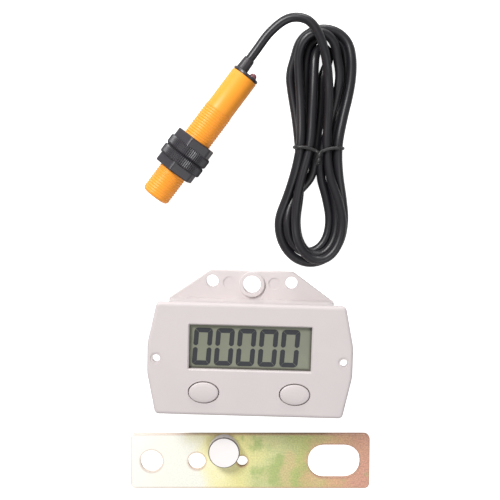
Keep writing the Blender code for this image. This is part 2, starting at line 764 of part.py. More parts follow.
def domed_oval_mesh(name, centre, low, shoulder, crown):
    """A straight-sided oval with a low domed top, built ring by ring."""
    shape = bmesh.new()
    base = [
        shape.verts.new((x, y, low))
        for x, y in ellipse(BUTTON_HALF_WIDTH, BUTTON_HALF_HEIGHT, centre, BUTTON_COUNT)
    ]
    shape.faces.new(base[::-1])
    rings = [base]
    for step in range(CROWN_RINGS):
        angle = math.pi / 2 * step / CROWN_RINGS
        shrink = math.cos(angle)
        height = shoulder + (crown - shoulder) * math.sin(angle)
        half_x = BUTTON_HALF_WIDTH * shrink
        half_y = BUTTON_HALF_HEIGHT * shrink
        loop = ellipse(half_x, half_y, centre, BUTTON_COUNT)
        rings.append([shape.verts.new((x, y, height)) for x, y in loop])
    for lower, upper in zip(rings, rings[1:]):
        for index in range(BUTTON_COUNT):
            after = (index + 1) % BUTTON_COUNT
            shape.faces.new((lower[index], lower[after], upper[after], upper[index]))
    tip = shape.verts.new((*centre, crown))
    for index in range(BUTTON_COUNT):
        shape.faces.new((rings[-1][index], rings[-1][(index + 1) % BUTTON_COUNT], tip))
    bmesh.ops.recalc_face_normals(shape, faces=shape.faces)
    mesh = bpy.data.meshes.new(name)
    shape.to_mesh(mesh)
    shape.free()
    return mesh


def make_button(kind, centre):
    """An oval cap held behind the panel by its rim, over a switch with its own plunger."""
    rim_high = PANEL_BACK - SEAT_GAP
    rim_low = rim_high - BUTTON_RIM_THICKNESS
    shoulder = CASE_DEPTH + BUTTON_PROUD
    name = f"{kind}_button"
    mesh = domed_oval_mesh(name, centre, rim_low, shoulder, shoulder + BUTTON_CROWN)
    cap = placed(name, mesh, plastic)
    half_x = BUTTON_HALF_WIDTH + BUTTON_RIM
    half_y = BUTTON_HALF_HEIGHT + BUTTON_RIM
    rim = ellipse(half_x, half_y, centre, BUTTON_COUNT)
    join(cap, flat(f"{kind}_rim", [rim], rim_low, rim_high, plastic))
    switch_low = BOARD_HIGH + SEAT_GAP
    switch_high = switch_low + SWITCH_HEIGHT
    plunger_high = switch_high + PLUNGER_PROUD
    stem_low = plunger_high + SEAT_GAP
    join(cap, rod(f"{kind}_stem", STEM_RADIUS, stem_low, rim_low + EMBED, centre, plastic))
    loops = [
        rounded_box(SWITCH_HALF_WIDTH, SWITCH_HALF_WIDTH, SWITCH_CORNER, centre),
        circle(PLUNGER_RADIUS + SEAT_GAP, centre, SMALL_ROUND_COUNT),
    ]
    flat(f"{kind}_switch_body", loops, switch_low, switch_high, steel)
    low = switch_high - PLUNGER_DEPTH
    rod(f"{kind}_switch_plunger", PLUNGER_RADIUS, low, plunger_high, centre, black_plastic)


def make_circuit_board():
    """The board, with notched corners round the screw bosses, and its parts."""
    reach = BOARD_HALF_WIDTH
    height = BOARD_HALF_HEIGHT
    quarter = [(reach, height - BOARD_NOTCH), (reach - BOARD_NOTCH, height)]
    corners = [(x, y, EMBED) for x, y in quarter]
    corners += [(-x, y, EMBED) for x, y in quarter[::-1]]
    corners += [(-x, -y, EMBED) for x, y in quarter]
    corners += [(x, -y, EMBED) for x, y in quarter[::-1]]
    hole = BOARD_SCREW_RADIUS + SEAT_GAP
    holes = [circle(hole, place, 12) for place in BOARD_SCREW_PLACES]
    flat("circuit_board", [rounded(corners), *holes], BOARD_LOW, BOARD_HIGH, board)
    under = BOARD_LOW - SEAT_GAP
    dome = []
    for step in range(CHIP_RINGS + 1):
        angle = math.pi / 2 * step / CHIP_RINGS
        dome.append((CHIP_RADIUS * math.cos(angle), -CHIP_HEIGHT * math.sin(angle)))
    dome[-1] = (0, -CHIP_HEIGHT)
    chip = turned("counter_chip", [(0, 0), *dome], epoxy, steps=24)
    chip.location = (CHIP_X, CHIP_Y, under)
    half = CRYSTAL_LENGTH / 2
    profile = [(0, half), (CRYSTAL_RADIUS, half), (CRYSTAL_RADIUS, -half), (0, -half)]
    crystal = turned("crystal", profile, steel, steps=SMALL_ROUND_COUNT)
    crystal.location = (CRYSTAL_X, CRYSTAL_Y, under - CRYSTAL_RADIUS)
    crystal.rotation_euler = (math.pi / 2, 0, 0)
    can = quarter_round(CAPACITOR_RADIUS, 0, CAPACITOR_ROUNDING)
    bottom = [(radius, -CAPACITOR_HEIGHT - height) for radius, height in can[::-1]]
    profile = [(0, 0), (CAPACITOR_RADIUS, 0), *bottom, (0, -CAPACITOR_HEIGHT)]
    capacitor = turned("filter_capacitor", profile, black_plastic, steps=20)
    capacitor.location = (CAPACITOR_X, CAPACITOR_Y, under)
    low = (
        RESISTOR_X - RESISTOR_LENGTH / 2,
        RESISTOR_Y - RESISTOR_WIDTH / 2,
        under - RESISTOR_HEIGHT,
    )
    high = (RESISTOR_X + RESISTOR_LENGTH / 2, RESISTOR_Y + RESISTOR_WIDTH / 2, under)
    block("pull_up_resistor", low, high, black_plastic)


def make_battery():
    """The cell lies along X between two sprung plates, which reach up to the board."""
    half = CELL_LENGTH / 2
    body_end = half - CELL_NUB_HEIGHT
    shoulder = quarter_round(CELL_RADIUS, body_end, CELL_ROUNDING, 2)
    foot = [(radius, -half + body_end - height) for radius, height in shoulder[::-1]]
    profile = [
        (0, half),
        (CELL_NUB_RADIUS, half),
        (CELL_NUB_RADIUS, body_end),
        *shoulder,
        *foot,
        (0, -half),
    ]
    cell = turned("battery_cell", profile, cell_wrap, steps=24)
    cell.location = (0, CELL_Y, cell_height())
    cell.rotation_euler = (0, math.pi / 2, 0)
    for name, side in (("plus", 1), ("minus", -1)):
        inner = half + SEAT_GAP + CONTACT_BUMP_HEIGHT
        ends = sorted((side * inner, side * (inner + CONTACT_THICKNESS)))
        low = (ends[0], CELL_Y - CONTACT_HALF_WIDTH, BACK_WALL + SEAT_GAP)
        high = (ends[1], CELL_Y + CONTACT_HALF_WIDTH, BOARD_LOW - SEAT_GAP)
        plate = block(f"battery_contact_{name}", low, high, steel)
        bump = turned(
            f"bump_{name}",
            [
                (0, CONTACT_BUMP_HEIGHT),
                (CONTACT_BUMP_RADIUS / 2, CONTACT_BUMP_HEIGHT),
                (CONTACT_BUMP_RADIUS, -CONTACT_THICKNESS / 2),
                (0, -CONTACT_THICKNESS / 2),
            ],
            steel,
            steps=SMALL_ROUND_COUNT,
        )
        bump.location = (side * inner, CELL_Y, cell_height())
        bump.rotation_euler = (0, -side * math.pi / 2, 0)
        join(plate, bump)


def make_terminal():
    """A two-way clamp block under the board, with its screws facing the back."""
    top = BOARD_LOW - SEAT_GAP
    low = (TERMINAL_X - TERMINAL_HALF_WIDTH, TERMINAL_FRONT_Y, TERMINAL_LOW)
    high = (TERMINAL_X + TERMINAL_HALF_WIDTH, TERMINAL_FRONT_Y + TERMINAL_LENGTH, top)
    body = block("input_terminal", low, high, terminal_plastic, rounding=TERMINAL_CORNER)
    well = low[2] + CLAMP_WELL_LENGTH
    for number, (x, y) in enumerate(clamp_screw_places(), 1):
        radius = CLAMP_SCREW_RADIUS + SEAT_GAP
        cut(body, rod("screw_well", radius, low[2] - OVERRUN, well, (x, y), terminal_plastic))
        entry_low = (x - ENTRY_HALF_WIDTH, low[1] - OVERRUN, ENTRY_Z - ENTRY_HALF_HEIGHT)
        entry_high = (x + ENTRY_HALF_WIDTH, y, ENTRY_Z + ENTRY_HALF_HEIGHT)
        cut(body, block("entry", entry_low, entry_high, terminal_plastic))
        base = well - SEAT_GAP - CLAMP_SCREW_LENGTH
        name = f"clamp_screw_{number}"
        top_of_screw = base + CLAMP_SCREW_LENGTH
        screw = rod(name, CLAMP_SCREW_RADIUS, base, top_of_screw, (x, y), steel)
        slot_low = (
            x - CLAMP_SCREW_RADIUS - OVERRUN,
            y - CLAMP_SLOT_WIDTH / 2,
            base - OVERRUN,
        )
        slot_high = (
            x + CLAMP_SCREW_RADIUS + OVERRUN,
            y + CLAMP_SLOT_WIDTH / 2,
            base + CLAMP_SLOT_DEPTH,
        )
        cut(screw, block("driver_slot", slot_low, slot_high, steel))


def make_screws():
    """Four screws from the back join the shells; three from behind hold the board."""
    tip = FRONT_BOSS_LOW + CASE_SCREW_REACH
    head_top = BACK_WALL - SEAT_GAP
    head_low = head_top - CASE_SCREW_HEAD_HEIGHT
    recess = CASE_SCREW_HEAD_RADIUS * SCREW_RECESS_SHARE
    profile = [
        (0, tip),
        (CASE_SCREW_RADIUS * SCREW_TIP_SHARE, tip),
        (CASE_SCREW_RADIUS, tip - CASE_SCREW_RADIUS),
        (CASE_SCREW_RADIUS, head_top),
        (CASE_SCREW_HEAD_RADIUS, head_top),
        (CASE_SCREW_HEAD_RADIUS, head_low),
        (recess, head_low),
        (0, head_low + recess * SCREW_RECESS_SHARE),
    ]
    for number, centre in enumerate(case_screw_places(), 1):
        screw = turned(f"case_screw_{number}", profile, steel, steps=12)
        screw.location = (*centre, 0)
    tip = PANEL_BACK - PILOT_END_WALL - SEAT_GAP
    head_top = BOARD_LOW - SEAT_GAP
    head_low = head_top - BOARD_SCREW_HEAD_HEIGHT
    recess = BOARD_SCREW_HEAD_RADIUS * SCREW_RECESS_SHARE
    profile = [
        (0, tip),
        (BOARD_SCREW_RADIUS * SCREW_TIP_SHARE, tip),
        (BOARD_SCREW_RADIUS, tip - BOARD_SCREW_RADIUS),
        (BOARD_SCREW_RADIUS, head_top),
        (BOARD_SCREW_HEAD_RADIUS, head_top),
        (BOARD_SCREW_HEAD_RADIUS, head_low),
        (recess, head_low),
        (0, head_low + recess * SCREW_RECESS_SHARE),
    ]
    for number, centre in enumerate(BOARD_SCREW_PLACES, 1):
        screw = turned(f"board_screw_{number}", profile, steel, steps=12)
        screw.location = (*centre, 0)


def sensor_matrix():
    """Turns local Z along the barrel, from nose to rear, and local X to straight up."""
    heading = Vector((math.cos(SENSOR_HEADING_ANGLE), math.sin(SENSOR_HEADING_ANGLE), 0))
    upward = Vector((0, 0, 1))
    across = heading.cross(upward)
    turn = Matrix((upward, across, heading)).transposed().to_4x4()
    place = Vector((SENSOR_NOSE_X, SENSOR_NOSE_Y, NUT_FLANGE_RADIUS))
    return Matrix.Translation(place) @ turn


def sensor_frame():
    axis = bpy.data.objects.new("sensor_axis", None)
    parts.objects.link(axis)
    axis.matrix_world = sensor_matrix()
    return axis


def barrel_profile():
    rear = SENSOR_LENGTH - CAP_LIP - SEAT_GAP
    nose = quarter_round(THREAD_RADIUS, 0, NOSE_ROUNDING)
    nose = [(radius, -height) for radius, height in nose[::-1]]
    return [
        (0, NOSE_WALL),
        (BARREL_BORE_RADIUS, NOSE_WALL),
        (BARREL_BORE_RADIUS, REAR_BORE_PLACE),
        (REAR_BORE_RADIUS, REAR_BORE_PLACE),
        (REAR_BORE_RADIUS, rear),
        (SMOOTH_RADIUS, rear),
        (SMOOTH_RADIUS, THREAD_LENGTH),
        (THREAD_RADIUS, THREAD_LENGTH - THREAD_RUNOUT),
        *nose,
        (0, 0),
    ]


def make_sensor(axis):
    """The barrel, closed at its nose, and what its rear cap closes in."""
    turned("sensor_barrel", barrel_profile(), orange_plastic, axis)
    lip_low = SENSOR_LENGTH - CAP_LIP
    plug_low = lip_low - CAP_PLUG_LENGTH
    plug_radius = REAR_BORE_RADIUS - SEAT_GAP
    profile = [
        (0, SENSOR_LENGTH),
        (SMOOTH_RADIUS - CAP_CHAMFER, SENSOR_LENGTH),
        (SMOOTH_RADIUS, SENSOR_LENGTH - CAP_CHAMFER),
        (SMOOTH_RADIUS, lip_low),
        (plug_radius, lip_low),
        (plug_radius, plug_low),
        (0, plug_low),
    ]
    cap = turned("sensor_end_cap", profile, black_plastic, axis)
    led_hole = rod(
        "led_hole",
        LED_RADIUS + SLIDE_GAP,
        plug_low - OVERRUN,
        SENSOR_LENGTH + OVERRUN,
        (0, 0),
        black_plastic,
        axis,
    )
    led_hole.location = (0, LED_OFFSET, 0)
    cut(cap, led_hole)
    led_base = SENSOR_LENGTH - LED_DEPTH
    led_top = SENSOR_LENGTH + LED_PROUD
    dome = quarter_round(LED_RADIUS, led_top, LED_RADIUS, 4)
    led = turned("indicator_led", [*dome, (LED_RADIUS, led_base), (0, led_base)], led_resin, axis)
    led.location = (0, LED_OFFSET, 0)
    boot_low = SENSOR_LENGTH + SEAT_GAP
    boot_high = boot_low + BOOT_LENGTH
    profile = [
        (0, boot_high),
        *quarter_round(BOOT_END_RADIUS, boot_high, BOOT_ROUNDING, 2),
        (BOOT_BASE_RADIUS, boot_low),
        (0, boot_low),
    ]
    boot = turned("strain_relief", profile, boot_rubber, axis, steps=24)
    boot.location = (0, -BOOT_OFFSET, 0)
    make_sensor_board(axis, REAR_BORE_PLACE)


def make_sensor_board(axis, board_end):
    """The slip of board in the bore, with the reed switch and a resistor on it."""
    face = -SENSOR_BOARD_DROP
    lower = face - SENSOR_BOARD_THICKNESS
    half_width = math.sqrt(BARREL_BORE_RADIUS**2 - lower**2) - SENSOR_BOARD_MARGIN
    start = NOSE_WALL + SEAT_GAP
    low = (lower, -half_width, start)
    high = (face, half_width, board_end)
    block("sensor_board", low, high, board, axis)
    half = REED_LENGTH / 2
    shoulder = half - REED_RADIUS
    tip = half + REED_LEAD_LENGTH
    end = [
        (0, tip),
        (REED_LEAD_RADIUS, tip),
        (REED_LEAD_RADIUS, half),
        (REED_RADIUS, shoulder),
    ]
    other_end = [(radius, -height) for radius, height in end[::-1]]
    reed = turned("reed_switch", end + other_end, reed_glass, axis, steps=SMALL_ROUND_COUNT)
    reed.location = (face + SEAT_GAP + REED_RADIUS, 0, start + tip)
    low = (face + SEAT_GAP, -SERIES_RESISTOR_WIDTH / 2, SERIES_RESISTOR_PLACE)
    high = (
        face + SEAT_GAP + SERIES_RESISTOR_HEIGHT,
        SERIES_RESISTOR_WIDTH / 2,
        SERIES_RESISTOR_PLACE + SERIES_RESISTOR_LENGTH,
    )
    block("series_resistor", low, high, black_plastic, axis)


def knurled_loop(radius):
    """A circle of sharp ribs, two points a rib."""
    points = []
    for index in range(NUT_RIB_COUNT * 2):
        angle = math.pi * index / NUT_RIB_COUNT
        reach = radius - (index % 2) * NUT_RIB_DEPTH
        points.append((reach * math.cos(angle), reach * math.sin(angle)))
    return points


def neck_loop(turn):
    """The rounded hexagon of a nut's neck, one corner turned this far from straight up."""
    corner_distance = NUT_ACROSS_FLATS / math.sqrt(3)
    corners = []
    for index in range(6):
        angle = turn + math.tau * index / 6
        corners.append(
            (corner_distance * math.cos(angle), corner_distance * math.sin(angle), NUT_CORNER)
        )
    return rounded(corners)


def make_nut(name, axis, face, direction):
    """A nut whose flange starts at one place on the barrel and whose neck points outward."""
    rounding = quarter_round(NUT_FLANGE_RADIUS, NUT_FLANGE_LENGTH, NUT_FLANGE_ROUNDING)
    steps = [(radius, NUT_FLANGE_LENGTH - height) for radius, height in rounding]
    steps += rounding[::-1]
    rings = [(knurled_loop(radius), height) for radius, height in steps]
    rim = placed(name, loft_mesh(name, rings), black_plastic, axis)
    total = NUT_FLANGE_LENGTH + NUT_NECK_LENGTH
    low = NUT_FLANGE_LENGTH - EMBED
    hexagon = neck_loop(NUT_TURN_ANGLE * direction)
    neck = edged_mesh(f"{name}_neck", hexagon, low, total, NUT_NECK_CHAMFER, 2)
    join(rim, placed(f"{name}_neck", neck, black_plastic, rim))
    bore = THREAD_RADIUS + SLIDE_GAP
    cutter = rod(
        f"{name}_bore", bore, -OVERRUN, total + OVERRUN, (0, 0), black_plastic, rim, ROUND_COUNT
    )
    cut(rim, cutter)
    rim.location = (0, 0, face)
    if direction < 0:
        rim.rotation_euler = (math.pi, 0, 0)
    return rim


def smooth_path(points, step):
    """Points at an even step along a smooth curve through the given ones."""
    ends = [points[0] * 2 - points[1], *points, points[-1] * 2 - points[-2]]
    fine = []
    samples = 24
    for a, b, c, d in zip(ends, ends[1:], ends[2:], ends[3:]):
        for sample in range(samples):
            t = sample / samples
            fine.append(
                b
                + (c - a) * t / 2
                + (a * 2 - b * 5 + c * 4 - d) * t**2 / 2
                + (b * 3 - a - c * 3 + d) * t**3 / 2
            )
    fine.append(points[-1])
    lengths = [0]
    for first, second in zip(fine, fine[1:]):
        lengths.append(lengths[-1] + (second - first).length)
    count = max(2, round(lengths[-1] / step))
    path = []
    for index in range(count + 1):
        target = lengths[-1] * index / count
        place = min(int(np.searchsorted(lengths, target)), len(fine) - 1)
        before = max(place - 1, 0)
        span = lengths[place] - lengths[before]
        share = (target - lengths[before]) / span if span else 0
        path.append(fine[before].lerp(fine[place], share))
    return path


def tube(name, points, radius, made_of, resolution):
    curve = bpy.data.curves.new(name, "CURVE")
    curve.dimensions = "3D"
    curve.bevel_depth = radius
    curve.bevel_resolution = resolution
    curve.use_fill_caps = True
    spline = curve.splines.new("POLY")
    spline.points.add(len(points) - 1)
    for point, place in zip(spline.points, points):
        point.co = (*place, 1)
    curve.materials.append(made_of)
    made = bpy.data.objects.new(name, curve)
    parts.objects.link(made)
    return made


def hank_lift():
    """How far the waist stands off the table, for the tie to pass under it."""
    return TIE_LEVEL_GAP + 2 * TIE_RADIUS + SEAT_GAP


def hank_point(turn):
    """A place on the hank's centre line, counted in turns from the waist's right side.

    The line spirals out in the upper layer for half of the turns, drops to the lower layer
    over the upper lobe, and spirals in again. Each turn goes down the right run, round the
    lower lobe, up the left run and round the upper lobe. Pairs of sizes are the two layers'.
    """
    dropped = (turn - HANK_CLIMB_START) / (HANK_CLIMB_END - HANK_CLIMB_START)
    dropped = min(max(dropped, 0), 1)
    dropped = dropped**2 * (3 - 2 * dropped)

    def between(layers):
        return layers[0] + (layers[1] - layers[0]) * dropped

    nesting = min(turn, HANK_TURNS - turn)
    eighth = (turn % 1) * 8
    if eighth < 1 or eighth > 7:
        side = 1
        along = -eighth if eighth < 1 else 8 - eighth
    elif eighth <= 3:
        side = 0
        along = -1
    elif eighth < 5:
        side = -1
        along = eighth - 4
    else:
        side = 0
        along = 1
    pinch = math.cos(math.pi / 2 * along) ** 2
    waist = between(HANK_WAIST_BEND) + HANK_WAIST_STEP * nesting
    if along > 0:
        reach = between(HANK_UPPER_REACH)
        bend = between(HANK_UPPER_BEND) + between(HANK_UPPER_STEP) * nesting
        shift = between(HANK_UPPER_SHIFT)
    else:
        reach = between(HANK_LOWER_REACH)
        bend = between(HANK_LOWER_BEND) + HANK_LOWER_STEP * nesting
        shift = between(HANK_LOWER_SHIFT)
    centre = HANK_X + shift * (1 - pinch) + between(HANK_WAIST_SHIFT) * pinch
    y = HANK_Y + reach * along
    if side:
        x = centre + side * (bend * (1 - pinch) + waist * pinch)
    else:
        angle = math.pi / 2 * ((eighth - 1) if along < 0 else (eighth - 5))
        x = centre - along * bend * math.cos(angle)
        y += along * bend * math.sin(angle)
    if along > 0:
        y += HANK_UPPER_SLANT * (x - centre) * (1 - pinch)
    z = HANK_BASE_GAP + CORD_RADIUS + hank_lift() * pinch + HANK_LAYER_STEP * (1 - dropped)
    return Vector((x, y, z))


def hank_path():
    length = HANK_LAST_TURN - HANK_FIRST_TURN
    count = round(length * HANK_POINT_COUNT)
    path = [hank_point(HANK_FIRST_TURN + length * index / count) for index in range(count + 1)]
    start = path[0] + (path[0] - path[1]).normalized() * 2 * CORD_RADIUS
    end = path[-1] + (path[-1] - path[-2]).normalized() * 2 * CORD_RADIUS
    return [start, *path, end]


def least_self_gap(path, radius):
    """The least face-to-face distance between stretches of a tube that aren't neighbours."""
    fine = []
    for first, second in zip(path, path[1:]):
        fine += [first.lerp(second, share / 6) for share in range(6)]
    spots = np.array([tuple(point) for point in fine])
    steps = np.linalg.norm(np.diff(spots, axis=0), axis=1)
    length = np.concatenate([[0], np.cumsum(steps)])
    apart = np.linalg.norm(spots[:, None] - spots[None], axis=2)
    far = np.abs(length[:, None] - length[None]) > radius * 6
    return float(apart[far].min() - 2 * radius)


def make_cord(axis_matrix):
    """The free lead from the strain relief to the hank, and the wound hank."""
    path = hank_path()
    print("hank's least gap to itself, mm:", round(least_self_gap(path, CORD_RADIUS) * 1000, 2))
    tube("lead_hank", path, CORD_RADIUS, cord_jacket, 1)
    start = SENSOR_LENGTH + SEAT_GAP + BOOT_LENGTH + SEAT_GAP
    exit_point = axis_matrix @ Vector((0, -BOOT_OFFSET, start))
    heading = axis_matrix.to_3x3() @ Vector((0, 0, 1))
    into = (path[0] - path[1]).normalized()
    arrival = path[0] + into * SEAT_GAP
    route = [
        exit_point,
        exit_point + heading * 2 * CORD_RADIUS,
        *[Vector(place) for place in LEAD_ROUTE],
        arrival + into * 2 * CORD_RADIUS,
        arrival,
    ]
    inner = smooth_path(route[1:-1], CORD_POINT_STEP)
    tube("sensor_lead", [route[0], *inner, route[-1]], CORD_RADIUS, cord_jacket, 2)


def tie_path():
    """Round the waist and into a twisted pair that lies on top of the bundle."""
    margin = CORD_RADIUS + SEAT_GAP + TIE_RADIUS
    right = hank_point(HANK_TURNS / 2).x + margin
    left = hank_point(HANK_TURNS / 2 + HALF_TURN).x - margin
    low = TIE_LEVEL_GAP + TIE_RADIUS
    top = HANK_BASE_GAP + CORD_RADIUS + hank_lift() + HANK_LAYER_STEP + margin
    corners = ((right, top), (right, low), (left, low), (left, top))
    outline = rounded([(x, z, TIE_CORNER) for x, z in corners])
    ring = [Vector((x, HANK_Y, z)) for x, z in outline]
    middle = (left + right) / 2
    throat_y = HANK_Y - TIE_DIP
    axis_z = top + TIE_TWIST_RADIUS
    path = []
    for strand in (0, 1):
        coil = []
        for index in range(TIE_TWIST_COUNT + 1):
            share = index / TIE_TWIST_COUNT
            angle = math.tau * TIE_TWIST_TURNS * share + math.pi * strand
            coil.append(
                Vector(
                    (
                        middle + TIE_TWIST_RADIUS * math.cos(angle),
                        throat_y - TIE_TWIST_LENGTH * share,
                        axis_z + TIE_TWIST_RADIUS * math.sin(angle),
                    )
                )
            )
        if strand == 0:
            path += coil[::-1] + ring
        else:
            path += coil
    return path


def make_tie():
    path = tie_path()
    print("tie's least gap to itself, mm:", round(least_self_gap(path, TIE_RADIUS) * 1000, 2))
    tube("hank_tie", path, TIE_RADIUS, tie_jacket, 1)


def make_bar_and_magnet():
    """A pierced bar that carries the sensor, with the disc magnet lying on it."""
    bar_axis = bpy.data.objects.new("bar_axis", None)
    parts.objects.link(bar_axis)
    bar_axis.location = (BAR_X, BAR_Y, 0)
    bar_axis.rotation_euler = (0, 0, BAR_TURN_ANGLE)
    outline = rounded_box(BAR_LENGTH / 2, BAR_WIDTH / 2, BAR_CORNER)
    mesh = edged_mesh("mounting_bar", outline, 0, BAR_THICKNESS, BAR_EDGE_CHAMFER)
    bar = placed("mounting_bar", mesh, plated_steel, bar_axis)
    low = -OVERRUN
    high = BAR_THICKNESS + OVERRUN
    for share, radius in zip(BAR_HOLE_SHARES, BAR_HOLE_RADII):
        place = (share * BAR_LENGTH, 0)
        cut(bar, rod("bar_hole", radius, low, high, place, plated_steel, bar_axis, ROUND_COUNT))
    slot_place = (SLOT_SHARE * BAR_LENGTH, 0)
    slot = rounded_box(SLOT_LENGTH / 2, SLOT_WIDTH / 2, SLOT_WIDTH / 2 - EMBED, slot_place)
    cut(bar, flat("bar_slot", [slot], low, high, plated_steel, bar_axis))
    low = BAR_THICKNESS + SEAT_GAP
    high = low + MAGNET_THICKNESS
    profile = [
        (0, high),
        (MAGNET_RADIUS - MAGNET_CHAMFER, high),
        (MAGNET_RADIUS, high - MAGNET_CHAMFER),
        (MAGNET_RADIUS, low + MAGNET_CHAMFER),
        (MAGNET_RADIUS - MAGNET_CHAMFER, low),
        (0, low),
    ]
    magnet = turned("magnet", profile, nickel, bar_axis, steps=48)
    magnet.location = (MAGNET_X, MAGNET_Y, 0)


clear_scene()
parts = new_collection("magnetic_induction_counter")
cutters = new_collection("cutters")
plastic = material("case_plastic", (0.85, 0.79, 0.78), 0.45)
frame_plastic = material("frame_plastic", (0.8, 0.8, 0.78), 0.5)
black_plastic = material("black_plastic", (0.03, 0.03, 0.035), 0.5)
orange_plastic = material("orange_plastic", (0.9, 0.38, 0.03), 0.35)
terminal_plastic = material("terminal_plastic", (0.05, 0.3, 0.12), 0.5)
boot_rubber = material("boot_rubber", (0.05, 0.045, 0.05), 0.6)
rubber = material("contact_rubber", (0.6, 0.25, 0.3), 0.7)
cord_jacket = material("cord_jacket", (0.03, 0.03, 0.033), 0.5)
tie_jacket = material("tie_jacket", (0.02, 0.02, 0.02), 0.6)
lcd_glass = material("display_glass", (0.3, 0.31, 0.25), 0.15)
reflector = material("reflector", (0.6, 0.62, 0.55), 0.4)
board = material("circuit_laminate", (0.06, 0.25, 0.1), 0.5)
epoxy = material("epoxy", (0.02, 0.02, 0.02), 0.4)
steel = material("bright_steel", (0.6, 0.6, 0.6), 0.3, 1.0)
plated_steel = material("plated_steel", (0.75, 0.65, 0.35), 0.35, 1.0)
nickel = material("nickel", (0.85, 0.85, 0.85), 0.2, 1.0)
cell_wrap = material("cell_wrap", (0.1, 0.1, 0.12), 0.3)
led_resin = material("led_resin", (0.5, 0.08, 0.08), 0.15)
reed_glass = material("reed_glass", (0.4, 0.6, 0.5), 0.1)

make_front_cover()
make_rear_housing()
make_display()
for button, place in button_centres().items():
    make_button(button, place)
make_circuit_board()
make_battery()
make_terminal()
make_screws()
sensor_axis = sensor_frame()
make_sensor(sensor_axis)
make_nut("front_nut", sensor_axis, NUT_SPLIT_PLACE - SEAT_GAP / 2, -1)
make_nut("rear_nut", sensor_axis, NUT_SPLIT_PLACE + SEAT_GAP / 2, 1)
make_cord(sensor_matrix())
make_tie()
make_bar_and_magnet()
for made in parts.objects:
    if made.type == "MESH":
        made.data.shade_smooth()
        made.data.set_sharp_from_angle(angle=ARC_STEP_ANGLE * 2)
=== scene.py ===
"""The looks of a magnetic induction counter: panel counter, threaded sensor on a tied
lead, plated bar and disc magnet, lying flat and seen from above."""

import math

import bmesh
import bpy
from mathutils import Matrix, Vector


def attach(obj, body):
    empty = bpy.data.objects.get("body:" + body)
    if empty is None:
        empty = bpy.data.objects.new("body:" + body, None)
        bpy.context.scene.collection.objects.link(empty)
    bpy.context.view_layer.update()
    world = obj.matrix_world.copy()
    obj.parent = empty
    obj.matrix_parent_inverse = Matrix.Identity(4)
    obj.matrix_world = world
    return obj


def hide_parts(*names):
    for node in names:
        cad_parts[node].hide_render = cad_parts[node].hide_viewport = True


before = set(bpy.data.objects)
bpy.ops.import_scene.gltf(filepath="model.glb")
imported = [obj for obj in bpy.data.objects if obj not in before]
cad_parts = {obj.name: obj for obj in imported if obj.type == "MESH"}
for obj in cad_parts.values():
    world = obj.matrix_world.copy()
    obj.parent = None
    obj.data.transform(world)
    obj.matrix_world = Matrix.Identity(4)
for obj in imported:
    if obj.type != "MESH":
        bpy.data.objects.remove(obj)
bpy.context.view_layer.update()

# Lengths are in metres. Only the camera's lens and sensor are in millimetres.

# Camera
LOOK_POINT = Vector((-0.00117, 0.04308, 0.009))
CAMERA_DISTANCE = 0.350
CAMERA_TILT = math.radians(5.5)
CAMERA_ROLL = math.radians(1.55)
CAMERA_LENS = 61.74
CAMERA_SENSOR = 36

# Studio: each lamp has a place, a size and a power
SURROUND_LIGHT = 0.3
TABLE_HALF = 1.5
TABLE_WHITE = 0.75
TABLE_ROUGHNESS = 0.9
TABLE_GLOW = 0.86
LAMPS = (
    ("key_lamp", (-0.3, 0.42, 0.5), 0.22, 4.6),
    ("fill_lamp", (0.3, -0.32, 0.62), 0.6, 1.9),
    ("wall_lamp", (0.05, 0.75, 0.12), 0.22, 1.9),
)

# Meshes: the distance at which doubles merge, the angles above which edges stay sharp, the
# step of a rounded corner, and the samples between two points of a smooth line
MERGE_DISTANCE = 0.000002
SMOOTH_ANGLE = math.radians(35)
BARREL_SMOOTH_ANGLE = math.radians(50)
CORNER_STEP_ANGLE = math.radians(12)
CURVE_SAMPLES = 24

# Lead and hank
CORD_RADIUS = 0.00185
SEAT_GAP = 0.0003
SENSOR_NOSE = Vector((-0.04041, 0.06388, 0.00937))
SENSOR_HEADING = math.radians(54.23)
SENSOR_LENGTH = 0.0616
BOOT_OFFSET = 0.0025
BOOT_LENGTH = 0.00503
LEAD_ROUTE = (
    (0.0049, 0.1309, 0.0096),
    (0.0128, 0.1363, 0.0105),
    (0.0197, 0.1352, 0.0113),
    (0.0238, 0.1299, 0.0114),
    (0.0265, 0.1228, 0.0107),
    (0.0280, 0.1158, 0.0089),
    (0.0289, 0.1065, 0.0084),
    (0.0289, 0.0983, 0.0076),
)
# Along the hank: its waist, and the places below and above it that its strands pass
WAIST_Y = 0.0853
LOWER_PLACES = (0.0734, 0.0655, 0.054)
UPPER_PLACES = (0.0983, 0.1065, 0.1145, 0.1225)
